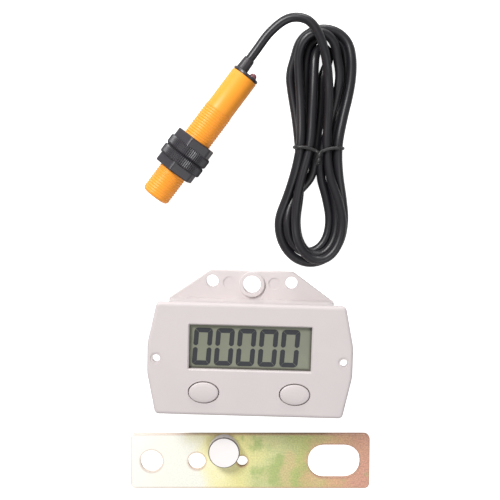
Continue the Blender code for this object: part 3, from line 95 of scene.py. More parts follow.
# Each fold from waist to waist: x and z going out, the crown's y and z, x and z coming back
HANK_FOLDS = (
    (
        ((0.0289, 0.0072), (0.0308, 0.0068), (0.0338, 0.0072), (0.0363, 0.0073)),
        (0.0393, 0.0082),
        ((0.0172, 0.006), (0.0177, 0.0062), (0.0191, 0.0066), (0.0219, 0.0072)),
    ),
    (
        ((0.0219, 0.0072), (0.0225, 0.0066), (0.0227, 0.0064), (0.0228, 0.0058), (0.0231, 0.0045)),
        (0.1264, 0.0024),
        ((0.0291, 0.0019), (0.0264, 0.0019), (0.0262, 0.0019), (0.0259, 0.0023), (0.0245, 0.0035)),
    ),
    (
        ((0.0245, 0.0035), (0.0232, 0.0028), (0.017, 0.0019), (0.0138, 0.0034)),
        (0.042, 0.0026),
        ((0.0315, 0.0019), (0.0296, 0.0019), (0.0272, 0.0026), (0.0278, 0.0035)),
    ),
    (
        ((0.0278, 0.0035), (0.0308, 0.0034), (0.0322, 0.005), (0.0332, 0.006), (0.0316, 0.0064)),
        (0.1314, 0.0079),
        ((0.0163, 0.0062), (0.0167, 0.0056), (0.0174, 0.0056), (0.018, 0.0062), (0.018, 0.0072)),
    ),
    (
        ((0.018, 0.0072), (0.0159, 0.0055), (0.0137, 0.0036), (0.0104, 0.0021)),
        (0.0376, 0.0019),
        ((0.0374, 0.0019), (0.0362, 0.003), (0.0345, 0.0052), (0.0334, 0.0072)),
    ),
    (
        ((0.0334, 0.0072), (0.0353, 0.0066), (0.037, 0.0062), (0.038, 0.0062), (0.0376, 0.0062)),
        (0.1331, 0.0048),
        ((0.0152, 0.0028), (0.0133, 0.0019), (0.0144, 0.0019), (0.016, 0.0024), (0.0178, 0.0035)),
    ),
    (
        ((0.0178, 0.0035), (0.0187, 0.0028), (0.0186, 0.0019), (0.0177, 0.0019)),
        (0.041, 0.005),
        ((0.0344, 0.0039), (0.033, 0.0035), (0.031, 0.0035), (0.0312, 0.0035)),
    ),
    (
        ((0.0312, 0.0035), (0.0331, 0.0028), (0.035, 0.0019), (0.036, 0.0019), (0.0357, 0.0019)),
        (0.1309, 0.0019),
        ((0.0198, 0.0019), (0.0195, 0.0019), (0.0199, 0.0019), (0.0205, 0.0023), (0.021, 0.0035)),
    ),
)
CROWN_STEPS = 6
CORD_END = (0.0208, 0.0805, 0.0031)
CORD_STEP = 0.0008
CORD_EASING = 12
CORD_BEVEL = 7

# Tie round the waist: its upper run sags to the middle, where its ends are twisted together
TIE_RADIUS = 0.0007
TIE_STEP = 0.0006
TIE_BEVEL = 4
TIE_CORNER = 0.0028
TIE_BITE = 0.00015
TIE_DIP = 0.0021
TIE_SLOPE_SHARES = (0.25, 0.45, 0.65, 0.83)
TIE_TWIST_LENGTH = 0.0046
TIE_TWIST_TURNS = 1.1
TIE_TWIST_RADIUS = 0.00042
TIE_TWIST_DRIFT = -0.0003
TIE_TWIST_DROP = 0.0012
TIE_TWIST_COUNT = 18
TIE_LEVEL_GAP = 0.00005

# Barrel: each of a thread's crest, root and two flanks takes one share of its pitch
THREAD_RADIUS = 0.006
THREAD_ROOT_RADIUS = 0.00577
THREAD_PITCH = 0.0011
THREAD_LENGTH = 0.0432
THREAD_COLUMNS = 72
THREAD_ROWS = 8
THREAD_SHARE = 0.25
NOSE_ROUNDING = 0.0018
SMOOTH_RADIUS = 0.0057
REAR_BORE_RADIUS = 0.0051
REAR_BORE_DEPTH = 0.003
REAR_CHAMFER = 0.00025
CAP_LIP = 0.001

# Raised rings on the faces where the two nuts meet
NUT_SPLIT_PLACE = 0.0206
NUT_LIP_HEIGHT = 0.00013
NUT_LIP_INNER = 0.00615
NUT_LIP_OUTER = 0.0088
NUT_BODIES = {"front_nut": "front_lock_nut", "rear_nut": "rear_lock_nut"}

# Bar
BAR_X = 0.00124
BAR_Y = -0.04807
BAR_TURN = math.radians(1.59)
BAR_LENGTH = 0.102
BAR_WIDTH = 0.0238
BAR_RIM = 0.001
HOLE_RIM = 0.0009
# Each opening's middle along the bar, half the length of its straight sides, and its radius
BAR_OPENINGS = (
    (-0.042, 0.0, 0.00477),
    (-0.02265, 0.0, 0.0037),
    (-0.0033, 0.0, 0.00235),
    (0.0358, 0.00385, 0.00725),
)
# Its plating: one plain colour, then colours from the left end to the right. Each noise of
# this file is given by its scale and detail, and each bump by its strength and depth.
PLATE_PLAIN = (0.8, 0.7, 0.4)
PLATE_COLORS = (
    (0.0, (1.0, 1.0, 0.93)),
    (0.24, (1.0, 0.99, 0.88)),
    (0.34, (1.0, 0.94, 0.52)),
    (0.46, (0.88, 0.82, 0.36)),
    (0.57, (0.7, 0.72, 0.34)),
    (0.66, (0.59, 0.61, 0.27)),
    (0.73, (0.56, 0.58, 0.21)),
    (0.84, (0.76, 0.46, 0.26)),
    (1.0, (0.7, 0.36, 0.26)),
)
PLATE_ROUGHNESS = 0.4
PLATE_METALLIC = 0.12
CLOUD_NOISE = (60, 6)
CLOUD_DRIFT = 0.34
# Each kind of blotch: its noise, the ranges of noise and of the bar's length over which it
# comes in, its strength and its colour
BLOTCHES = (
    ((95, 8), (0.5, 0.68), (0.45, 0.75), 0.6, (0.8, 0.55, 0.3)),
    ((130, 8), (0.52, 0.68), (0.36, 0.5), 0.7, (0.4, 0.53, 0.17)),
)
# Its darker rims: how strong they are at the left end, and what they gain by the right end
RIM_COLOR = (0.6, 0.33, 0.23)
RIM_LEFT = 0.33
RIM_GAIN = 0.5
SPECKLE_NOISE = (1500, 2)
SPECKLE_COLORS = ((0.34, (0.64, 0.64, 0.66)), (0.66, (1.0, 1.0, 0.98)))
SPECKLE_GAIN = 0.9
SPECKLE_BUMP = (0.3, 0.00008)

# Display
GLASS_HIGH = 0.0195
WINDOW_Y = 0.005
WINDOW_HALF_WIDTH = 0.0244
WINDOW_HALF_HEIGHT = 0.00895
DIGIT_COUNT = 5
DIGIT_PITCH = 0.00875
DIGIT_WIDTH = 0.0074
DIGIT_HEIGHT = 0.0152
DIGIT_DROP = 0.00015
DIGIT_START = 0.00108
DIGIT_STROKE = 0.0019
DIGIT_CORNER = 0.0014
DIGIT_GAP = 0.00006
DIGIT_SPLIT = 0.0004
DIGIT_TIP = 0.0006
DIGIT_SLANT = 0.06
DIGIT_LIFT = 0.00002
DIGIT_THICKNESS = 0.00003
# Shade along the window's edges: axis, side, half the window, the shade's reach and depth
WINDOW_SHADES = (
    ("X", 1, WINDOW_HALF_WIDTH, 0.0013, 0.6),
    ("X", -1, WINDOW_HALF_WIDTH, 0.0006, 0.5),
    ("Y", 1, WINDOW_HALF_HEIGHT, 0.0008, 0.45),
    ("Y", -1, WINDOW_HALF_HEIGHT, 0.0014, 0.75),
)
SHADE_COLOR = (0.035, 0.03, 0.024)
FACE_PLAIN = (0.21, 0.22, 0.165)
FACE_NOISE = (90, 3)
FACE_COLORS = ((0.3, (0.2, 0.21, 0.155)), (0.7, (0.225, 0.235, 0.178)))
FACE_ROUGHNESS = 0.3
FACE_GRAIN_NOISE = (2500, 2)
FACE_BUMP = (0.1, 0.00001)

# Looks: name, colour, roughness, metallic, mottle, scale of the grain and its depth
LOOKS = (
    ("case_plastic", (0.605, 0.548, 0.548), 0.42, 0, 0.012, 1800, 0.00003),
    # A lighter copy of the case plastic: painted light for the rear housing's wall and flange
    ("case_plastic_lit", (0.67, 0.615, 0.61), 0.42, 0, 0.012, 1800, 0.00003),
    ("black_plastic", (0.034, 0.031, 0.037), 0.37, 0, 0.15, 1200, 0.00005),
    ("orange_plastic", (0.96, 0.345, 0.026), 0.42, 0, 0.025, 1500, 0.00003),
    ("white_plastic", (0.7, 0.7, 0.67), 0.45, 0, 0.02, 1500, 0.00003),
    ("green_plastic", (0.03, 0.2, 0.07), 0.4, 0, 0.06, 1300, 0.00004),
    ("black_rubber", (0.03, 0.026, 0.03), 0.45, 0, 0.12, 1200, 0.00005),
    ("contact_rubber", (0.2, 0.2, 0.2), 0.6, 0, 0.08, 1500, 0.00004),
    ("display_glass", (0.3, 0.31, 0.26), 0.2, 0, 0.02, 1500, 0.00001),
    ("clear_glass", (0.5, 0.6, 0.55), 0.1, 0, 0.03, 900, 0.00001),
    ("reflector_film", (0.7, 0.72, 0.72), 0.3, 0.8, 0.03, 1500, 0.00002),
    ("laminate", (0.03, 0.16, 0.08), 0.4, 0, 0.1, 1600, 0.00003),
    ("steel", (0.6, 0.6, 0.6), 0.3, 0.9, 0.06, 1600, 0.00003),
    ("nickel", (0.93, 0.89, 0.88), 0.28, 0.08, 0.015, 1500, 0.00002),
    ("cell_wrap", (0.75, 0.75, 0.76), 0.25, 0.7, 0.03, 1500, 0.00002),
    ("led_resin", (0.2, 0.075, 0.085), 0.14, 0, 0.1, 700, 0.00002),
    ("digit_black", (0.026, 0.029, 0.034), 0.5, 0, 0.05, 1500, 0.00001),
    ("cord_jacket", (0.0115, 0.0105, 0.0135), 0.38, 0, 0.1, 900, 0.00005),
    ("tie_jacket", (0.02, 0.02, 0.02), 0.4, 0, 0.1, 900, 0.00005),
)
# The node group of the plain looks' mottle and grain: its sockets, and what all looks share
GRAIN_INPUTS = (
    ("Color", "NodeSocketColor"),
    ("Mottle", "NodeSocketFloat"),
    ("Grain Scale", "NodeSocketFloat"),
    ("Grain Depth", "NodeSocketFloat"),
)
GRAIN_OUTPUTS = (("Color", "NodeSocketColor"), ("Normal", "NodeSocketVector"))
MOTTLE_NOISE = (120, 4)
MOTTLE_SPAN = (0.3, 0.7)
GRAIN_DETAIL = 3
GRAIN_STRENGTH = 0.35
# Painted shade on bevels, by the upward part of a surface's normal: none on a level face,
# full on a bevel and only a share of it on an upright side
LEVEL_TO_BEVEL = (0.97, 0.8)
SIDE_TO_BEVEL = (0.2, 0.5)
SIDE_SHARE = 0.15
BEVEL_SHARE = 0.85
# Colour of the painted shade on bevels
BEVEL_SHADE_COLOR = (0.12, 0.1, 0.1)

# A Mix node's sockets for colours
MIX_COLOR_INPUTS = (6, 7)
MIX_COLOR_OUTPUT = 2

# Nodes with a look other than their slot's, and nodes that other pieces stand for
# The rear housing takes the lighter copy of the case plastic, which is painted light
OTHER_LOOKS = {"rear_housing": "case_plastic_lit", "lcd_front_glass": "lcd_face"}
REPLACED = ("sensor_lead", "lead_hank", "hank_tie", "sensor_barrel")


def link(obj):
    bpy.context.scene.collection.objects.link(obj)
    return obj


def make_camera():
    tilt = Vector((0, math.sin(CAMERA_TILT), math.cos(CAMERA_TILT)))
    up = Vector((0, 1, 0))
    up = (up - tilt * up.dot(tilt)).normalized()
    right = up.cross(tilt)
    turned_up = up * math.cos(CAMERA_ROLL) - right * math.sin(CAMERA_ROLL)
    turned_right = right * math.cos(CAMERA_ROLL) + up * math.sin(CAMERA_ROLL)
    data = bpy.data.cameras.new("camera")
    data.lens = CAMERA_LENS
    data.sensor_width = CAMERA_SENSOR
    camera = link(bpy.data.objects.new("camera", data))
    turn = Matrix((turned_right, turned_up, tilt)).transposed().to_4x4()
    camera.matrix_world = Matrix.Translation(LOOK_POINT + tilt * CAMERA_DISTANCE) @ turn
    bpy.context.scene.camera = camera


def sensor_matrix():
    """Local Z runs along the barrel from nose to rear and local X points straight up."""
    heading = Vector((math.cos(SENSOR_HEADING), math.sin(SENSOR_HEADING), 0))
    upward = Vector((0, 0, 1))
    across = heading.cross(upward)
    turn = Matrix((upward, across, heading)).transposed().to_4x4()
    return Matrix.Translation(SENSOR_NOSE) @ turn


def fold_points(out, crown, back):
    """One fold of the hank from the waist, round its crown and back, without its last place."""
    lower = len(out) == len(LOWER_PLACES) + 1
    places = (WAIST_Y, *(LOWER_PLACES if lower else UPPER_PLACES))
    points = [Vector((x, y, z)) for (x, z), y in zip(out, places)]
    (first_x, first_z), (last_x, last_z) = out[-1], back[0]
    crown_y, crown_z = crown
    for step in range(1, CROWN_STEPS):
        angle = math.pi * step / CROWN_STEPS
        middle = (first_x + last_x) / 2
        x = middle + (first_x - middle) * math.cos(angle)
        y = places[-1] + (crown_y - places[-1]) * math.sin(angle)
        side_z = first_z if step * 2 < CROWN_STEPS else last_z
        z = side_z + (crown_z - side_z) * math.sin(angle)
        points.append(Vector((x, y, z)))
    points += [Vector((x, y, z)) for (x, z), y in zip(back, places[::-1])]
    return points[:-1]


def cable_points():
    """The lead from the strain relief and the wound hank, as one line."""
    axis = sensor_matrix()
    exit_point = axis @ Vector((0, -BOOT_OFFSET, SENSOR_LENGTH + SEAT_GAP + BOOT_LENGTH))
    heading = axis.to_3x3() @ Vector((0, 0, 1))
    points = [exit_point, exit_point + heading * 2 * CORD_RADIUS]
    points += [Vector(place) for place in LEAD_ROUTE]
    for fold in HANK_FOLDS:
        points += fold_points(*fold)
    last_x, last_z = HANK_FOLDS[-1][-1][-1]
    points += [Vector((last_x, WAIST_Y, last_z)), Vector(CORD_END)]
    return points


def smooth_line(points, step, easing):
    """Points at an even step along a smooth curve through the given ones, then eased."""
    ends = [points[0] * 2 - points[1], *points, points[-1] * 2 - points[-2]]
    fine = []
    for a, b, c, d in zip(ends, ends[1:], ends[2:], ends[3:]):
        before, span, after = (b - a).length, (c - b).length, (d - c).length
        leave = ((b - a) / before * span + (c - b) / span * before) / (before + span) * span
        arrive = ((c - b) / span * after + (d - c) / after * span) / (span + after) * span
        for sample in range(CURVE_SAMPLES):
            t = sample / CURVE_SAMPLES
            start_share = 2 * t**3 - 3 * t**2 + 1
            fine.append(
                b * start_share
                + c * (1 - start_share)
                + leave * (t**3 - 2 * t**2 + t)
                + arrive * (t**3 - t**2)
            )
    fine.append(points[-1])
    length = sum((second - first).length for first, second in zip(fine, fine[1:]))
    count = round(length / step)
    line = [fine[0]]
    walked = 0.0
    for first, second in zip(fine, fine[1:]):
        span = (second - first).length
        while len(line) < count and walked + span >= length * len(line) / count:
            line.append(first.lerp(second, (length * len(line) / count - walked) / span))
        walked += span
    line.append(fine[-1])
    for _ in range(easing):
        inner = [
            here / 2 + (before + after) / 4 for before, here, after in zip(line, line[1:], line[2:])
        ]
        line = [line[0], line[1], *inner[1:], line[-1]]
    return line


def tube(name, points, radius, made_of, bevel, step, easing=0):
    """A round tube along a smooth line through the points, held above the table."""
    curve = bpy.data.curves.new(name, "CURVE")
    curve.dimensions = "3D"
    curve.bevel_depth = radius
    curve.bevel_resolution = bevel
    curve.use_fill_caps = True
    line = smooth_line(points, step, easing)
    spline = curve.splines.new("POLY")
    spline.points.add(len(line) - 1)
    for point, place in zip(spline.points, line):
        point.co = (place.x, place.y, max(place.z, radius), 1)
    spline.use_smooth = True
    curve.materials.append(made_of)
    return link(bpy.data.objects.new(name, curve))


def rounded(corners):
    """The points of a closed outline whose corners, each x, y and radius, are rounded."""
    points = []
    for index, (x, y, radius) in enumerate(corners):
        corner = Vector((x, y))
        before = (Vector(corners[index - 1][:2]) - corner).normalized()
        after = (Vector(corners[(index + 1) % len(corners)][:2]) - corner).normalized()
        half = before.angle(after) / 2
        centre = corner + (before + after).normalized() * radius / math.sin(half)
        arm = corner + before * radius / math.tan(half) - centre
        turn = math.copysign(math.pi - 2 * half, after.cross(before))
        steps = max(2, math.ceil(abs(turn) / CORNER_STEP_ANGLE))
        for step in range(steps + 1):
            spoke = Matrix.Rotation(turn * step / steps, 2) @ arm
            points.append((centre.x + spoke.x, centre.y + spoke.y))
    return points


def tie_points():
    """Round the waist, sagging to the middle, and into a twisted pair on the bundle."""
    waist = [place for out, _, back in HANK_FOLDS for place in (out[0], back[-1])]
    squeezed = CORD_RADIUS + TIE_BITE
    left = min(x for x, _ in waist) - squeezed
    right = max(x for x, _ in waist) + squeezed
    low = TIE_LEVEL_GAP + TIE_RADIUS
    top = max(z for _, z in waist) + CORD_RADIUS + TIE_RADIUS
    middle = (left + right) / 2
    half = (right - left) / 2
    corners = ((right, top), (right, low), (left, low), (left, top))
    outline = rounded([(x, z, TIE_CORNER) for x, z in corners])
    ring = [Vector((x, WAIST_Y, z)) for x, z in outline]
    path = []
    for side in (1, -1):
        slope = []
        for share in TIE_SLOPE_SHARES:
            x = middle + side * (half - TIE_CORNER) * (1 - share)
            slope.append(Vector((x, WAIST_Y - TIE_DIP * share**2, top)))
        coil = []
        for index in range(TIE_TWIST_COUNT + 1):
            share = index / TIE_TWIST_COUNT
            angle = math.tau * TIE_TWIST_TURNS * share + (0 if side == 1 else math.pi)
            x = middle + TIE_TWIST_DRIFT * share + TIE_TWIST_RADIUS * math.cos(angle)
            z = top + TIE_TWIST_RADIUS - TIE_TWIST_DROP * share + TIE_TWIST_RADIUS * math.sin(angle)
            coil.append(Vector((x, WAIST_Y - TIE_DIP - TIE_TWIST_LENGTH * share, z)))
        if side == 1:
            path += [*coil[::-1], *slope[::-1], *ring]
        else:
            path += [*slope, *coil]
    return path


def finished(name, shape, made_of, smooth_angle=SMOOTH_ANGLE):
    """An object of this mesh, its doubles merged and its normals outward."""
    bmesh.ops.remove_doubles(shape, verts=shape.verts, dist=MERGE_DISTANCE)
    bmesh.ops.recalc_face_normals(shape, faces=shape.faces)
    mesh = bpy.data.meshes.new(name)
    shape.to_mesh(mesh)
    shape.free()
    mesh.shade_smooth()
    mesh.set_sharp_from_angle(angle=smooth_angle)
    mesh.materials.append(made_of)
    return link(bpy.data.objects.new(name, mesh))


def thread_radius(place, turned_by):
    """The barrel's radius at a place along it, on a column this share of a turn round."""
    phase = (place / THREAD_PITCH - turned_by) % 1
    if phase < THREAD_SHARE:
        share = 1.0
    elif phase < 2 * THREAD_SHARE:
        share = 1 - (phase - THREAD_SHARE) / THREAD_SHARE
    elif phase < 3 * THREAD_SHARE:
        share = 0.0
    else:
        share = (phase - 3 * THREAD_SHARE) / THREAD_SHARE
    radius = THREAD_ROOT_RADIUS + (THREAD_RADIUS - THREAD_ROOT_RADIUS) * share
    if place < NOSE_ROUNDING:
        drop = NOSE_ROUNDING - place
        limit = THREAD_RADIUS - NOSE_ROUNDING + math.sqrt(NOSE_ROUNDING**2 - drop**2)
        radius = min(radius, limit)
    return radius


def turn_profile(shape, profile, closed=False):
    """Turns a profile, each row a place along the sensor and a radius, round the sensor's axis."""
    axis = sensor_matrix()
    corners = [shape.verts.new(axis @ Vector((radius, 0, place))) for place, radius in profile]
    after = corners[1:] + corners[:1] if closed else corners[1:]
    edges = [shape.edges.new(pair) for pair in zip(corners, after)]
    bmesh.ops.spin(
        shape,
        geom=corners + edges,
        cent=axis.translation,
        axis=axis.col[2].xyz,
        angle=math.tau,
        steps=THREAD_COLUMNS,
        use_merge=True,
    )


def make_barrel(made_of):
    """The moulded barrel: a helical thread from the nose, then the smooth rear."""
    shape = bmesh.new()
    axis = sensor_matrix()
    rear = SENSOR_LENGTH - CAP_LIP - SEAT_GAP
    rows = round(THREAD_LENGTH / THREAD_PITCH * THREAD_ROWS) + THREAD_ROWS
    grid = []
    for column in range(THREAD_COLUMNS):
        line = []
        shift = column / THREAD_COLUMNS
        spoke = Vector((math.cos(math.tau * shift), math.sin(math.tau * shift), 0))
        for row in range(-THREAD_ROWS, rows):
            place = (row / THREAD_ROWS + shift) * THREAD_PITCH
            held = min(max(place, 0.0), THREAD_LENGTH)
            local = spoke * thread_radius(held, shift) + Vector((0, 0, held))
            line.append(shape.verts.new(axis @ local))
        grid.append(line)
    for column in range(THREAD_COLUMNS):
        line = grid[column]
        if column + 1 < THREAD_COLUMNS:
            after = grid[column + 1]
        else:
            after = grid[0][THREAD_ROWS:]
        for row in range(min(len(line), len(after)) - 1):
            shape.faces.new((line[row], after[row], after[row + 1], line[row + 1]))
    smooth_profile = (
        (THREAD_LENGTH, THREAD_ROOT_RADIUS),
        (THREAD_LENGTH + REAR_CHAMFER, SMOOTH_RADIUS),
        (rear - REAR_CHAMFER, SMOOTH_RADIUS),
        (rear, SMOOTH_RADIUS - REAR_CHAMFER),
        (rear, REAR_BORE_RADIUS),
        (rear - REAR_BORE_DEPTH, REAR_BORE_RADIUS),
    )
    turn_profile(shape, smooth_profile)
    nose_radius = THREAD_RADIUS - NOSE_ROUNDING
    bmesh.ops.create_circle(
        shape, cap_ends=True, segments=THREAD_COLUMNS, radius=nose_radius, matrix=axis
    )
    return finished("barrel_shell", shape, made_of, BARREL_SMOOTH_ANGLE)


def make_digits(made_of):
    """Five slanted zeros, each of six segments with rounded outer corners and mitred joints."""
    shape = bmesh.new()
    low = GLASS_HIGH + DIGIT_LIFT
    bottom = WINDOW_Y - DIGIT_HEIGHT / 2 - DIGIT_DROP
    cut_in = DIGIT_CORNER * (1 - math.sqrt(0.5))
    stroke = DIGIT_STROKE
    half_height = DIGIT_HEIGHT / 2
    half_width = DIGIT_WIDTH / 2
    level = [
        (-half_width + cut_in + DIGIT_GAP, half_height - cut_in),
        (-half_width + DIGIT_CORNER, half_height),
        (half_width - DIGIT_CORNER, half_height),
        (half_width - cut_in - DIGIT_GAP, half_height - cut_in),
        (half_width - stroke - DIGIT_GAP, half_height - stroke),
        (-half_width + stroke + DIGIT_GAP, half_height - stroke),
    ]
    upright = [
        (half_width - cut_in, half_height - cut_in - DIGIT_GAP),
        (half_width, half_height - DIGIT_CORNER),
        (half_width, DIGIT_SPLIT + DIGIT_TIP),
        (half_width - DIGIT_TIP, DIGIT_SPLIT),
        (half_width - stroke + DIGIT_TIP, DIGIT_SPLIT),
        (half_width - stroke, DIGIT_SPLIT + DIGIT_TIP),
        (half_width - stroke, half_height - stroke - DIGIT_GAP),
    ]
    segments = []
    for up in (1, -1):
        segments.append([(x, y * up) for x, y in level])
        for side in (1, -1):
            segments.append([(x * side, y * up) for x, y in upright])
    for digit in range(DIGIT_COUNT):
        centre = -WINDOW_HALF_WIDTH + DIGIT_START + half_width + DIGIT_PITCH * digit
        for segment in segments:
            corners = []
            for x, y in segment:
                slanted = centre + x + (y + half_height) * DIGIT_SLANT
                corners.append(shape.verts.new((slanted, bottom + half_height + y, low)))
            base = shape.faces.new(corners)
            raised = bmesh.ops.extrude_face_region(shape, geom=[base], use_keep_orig=True)
            roof = [item for item in raised["geom"] if isinstance(item, bmesh.types.BMVert)]
            bmesh.ops.translate(shape, vec=(0, 0, DIGIT_THICKNESS), verts=roof)
    return finished("display_digits", shape, made_of)


def make_nut_lip(name, side, made_of):
    """The raised ring round a nut's bore that meets the other nut; side is -1 at the front."""
    shape = bmesh.new()
    face = NUT_SPLIT_PLACE + side * SEAT_GAP / 2
    profile = (
        (face, NUT_LIP_OUTER),
        (face - side * NUT_LIP_HEIGHT, NUT_LIP_OUTER - NUT_LIP_HEIGHT),
        (face - side * NUT_LIP_HEIGHT, NUT_LIP_INNER),
        (face, NUT_LIP_INNER),
    )
    turn_profile(shape, profile, closed=True)
    return finished(name, shape, made_of)


def plain_material(name, color, roughness, metallic=0.0):
    made = bpy.data.materials.new(name)
    made.use_nodes = True
    shader = made.node_tree.nodes["Principled BSDF"]
    shader.inputs["Base Color"].default_value = (*color, 1)
    shader.inputs["Roughness"].default_value = roughness
    shader.inputs["Metallic"].default_value = metallic
    return made


def dress(node, made_of):
    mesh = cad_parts[node].data
    mesh.materials.clear()
    mesh.materials.append(made_of)


def feed(tree, socket, value):
    """Gives a node's input a number or a colour, or links another node's output to it."""
    if isinstance(value, (int, float)):
        socket.default_value = value
    elif isinstance(value, tuple):
        socket.default_value = (*value, 1)
    else:
        tree.links.new(value, socket)


def math_node(tree, operation, first, second=0):
    made = tree.nodes.new("ShaderNodeMath")
    made.operation = operation
    feed(tree, made.inputs[0], first)
    feed(tree, made.inputs[1], second)
    return made.outputs["Value"]


def ramp_node(tree, factor, stops):
    made = tree.nodes.new("ShaderNodeValToRGB")
    elements = made.color_ramp.elements
    while len(elements) < len(stops):
        elements.new(0.5)
    for element, (place, color) in zip(elements, stops):
        element.position = place
        element.color = (*color, 1)
    tree.links.new(factor, made.inputs["Fac"])
    return made.outputs["Color"]


def product(tree, *factors):
    """The factors multiplied together, two at a time from the first."""
    total = factors[0]
    for factor in factors[1:]:
        total = math_node(tree, "MULTIPLY", total, factor)
    return total


def even_range(tree, value, span, result=(0, 1), way="LINEAR"):
    """From the first result at the span's start to the second at its end."""
    made = tree.nodes.new("ShaderNodeMapRange")
    made.interpolation_type = way
    feed(tree, made.inputs["Value"], value)
    feed(tree, made.inputs["From Min"], span[0])
    feed(tree, made.inputs["From Max"], span[1])
    feed(tree, made.inputs["To Min"], result[0])
    feed(tree, made.inputs["To Max"], result[1])
    return made.outputs["Result"]


def smooth_range(tree, value, low, high):
    """From 0 at low to 1 at high, smoothly."""
    return even_range(tree, value, (low, high), way="SMOOTHSTEP")


def noise_node(tree, places, scale, detail):
    made = tree.nodes.new("ShaderNodeTexNoise")
    feed(tree, made.inputs["Vector"], places)
    feed(tree, made.inputs["Scale"], scale)
    feed(tree, made.inputs["Detail"], detail)
    return made.outputs["Fac"]


def mix_colors(tree, factor, first, second, blend="MIX"):
    made = tree.nodes.new("ShaderNodeMix")
    made.data_type = "RGBA"
    made.blend_type = blend
    feed(tree, made.inputs["Factor"], factor)
    for index, value in zip(MIX_COLOR_INPUTS, (first, second)):
        feed(tree, made.inputs[index], value)
    return made.outputs[MIX_COLOR_OUTPUT]


def bump_node(tree, height, strength, distance):
    made = tree.nodes.new("ShaderNodeBump")
    feed(tree, made.inputs["Height"], height)
    feed(tree, made.inputs["Strength"], strength)
    feed(tree, made.inputs["Distance"], distance)
    return made.outputs["Normal"]


def make_grain_group():
    """The effect that the plain looks share: a faintly mottled colour and a fine grain."""
    tree = bpy.data.node_groups.new("mottle_and_grain", "ShaderNodeTree")
    for name, kind in GRAIN_INPUTS:
        tree.interface.new_socket(name=name, in_out="INPUT", socket_type=kind)
    for name, kind in GRAIN_OUTPUTS:
        tree.interface.new_socket(name=name, in_out="OUTPUT", socket_type=kind)
    given = tree.nodes.new("NodeGroupInput").outputs
    result = tree.nodes.new("NodeGroupOutput").inputs
    places = tree.nodes.new("ShaderNodeTexCoord").outputs["Object"]
    darkest = math_node(tree, "SUBTRACT", 1, given["Mottle"])
    lightest = math_node(tree, "ADD", 1, given["Mottle"])
    noise = noise_node(tree, places, *MOTTLE_NOISE)
    lightness = even_range(tree, noise, MOTTLE_SPAN, (darkest, lightest))
    mottled = mix_colors(tree, 1, given["Color"], lightness, "MULTIPLY")
    tree.links.new(mottled, result["Color"])
    grain = noise_node(tree, places, given["Grain Scale"], GRAIN_DETAIL)
    normal = bump_node(tree, grain, GRAIN_STRENGTH, given["Grain Depth"])
    tree.links.new(normal, result["Normal"])
    return tree


def grained(made, group, mottle, grain_scale, grain_depth):
    """Places the shared mottle and grain in a material, with its own values."""
    tree = made.node_tree
    shader = tree.nodes["Principled BSDF"]
    effect = tree.nodes.new("ShaderNodeGroup")
    effect.node_tree = group
    effect.inputs["Color"].default_value = shader.inputs["Base Color"].default_value
    effect.inputs["Mottle"].default_value = mottle
    effect.inputs["Grain Scale"].default_value = grain_scale
    effect.inputs["Grain Depth"].default_value = grain_depth
    tree.links.new(effect.outputs["Color"], shader.inputs["Base Color"])
    tree.links.new(effect.outputs["Normal"], shader.inputs["Normal"])
    return made


def centred_places(tree, x, y, turn):
    """Object coordinates measured from a piece's own centre and along its own length."""
    places = tree.nodes.new("ShaderNodeTexCoord")
    mapping = tree.nodes.new("ShaderNodeMapping")
    mapping.vector_type = "TEXTURE"
    mapping.inputs["Location"].default_value = (x, y, 0)
    mapping.inputs["Rotation"].default_value = (0, 0, turn)
    tree.links.new(places.outputs["Object"], mapping.inputs["Vector"])
    return mapping.outputs["Vector"]


def bar_rim(tree, split, aside):
    """1 along the bar's long sides, its ends and round its openings, and 0 away from them."""
    rim = smooth_range(tree, aside, BAR_WIDTH / 2 - BAR_RIM, BAR_WIDTH / 2 - BAR_RIM / 4)
    outward = math_node(tree, "ABSOLUTE", split.outputs["X"])
    end = smooth_range(tree, outward, BAR_LENGTH / 2 - BAR_RIM, BAR_LENGTH / 2 - BAR_RIM / 4)
    rim = math_node(tree, "MAXIMUM", rim, end)
    for middle, half, radius in BAR_OPENINGS:
        shifted = math_node(tree, "SUBTRACT", split.outputs["X"], middle)
        off = math_node(tree, "SUBTRACT", math_node(tree, "ABSOLUTE", shifted), half)
        off_squared = math_node(tree, "POWER", math_node(tree, "MAXIMUM", off), 2)
        aside_squared = math_node(tree, "POWER", aside, 2)
        reach = math_node(tree, "SQRT", math_node(tree, "ADD", off_squared, aside_squared))
        near = smooth_range(tree, reach, radius + HOLE_RIM, radius + HOLE_RIM / 4)
        rim = math_node(tree, "MAXIMUM", rim, near)
    return rim


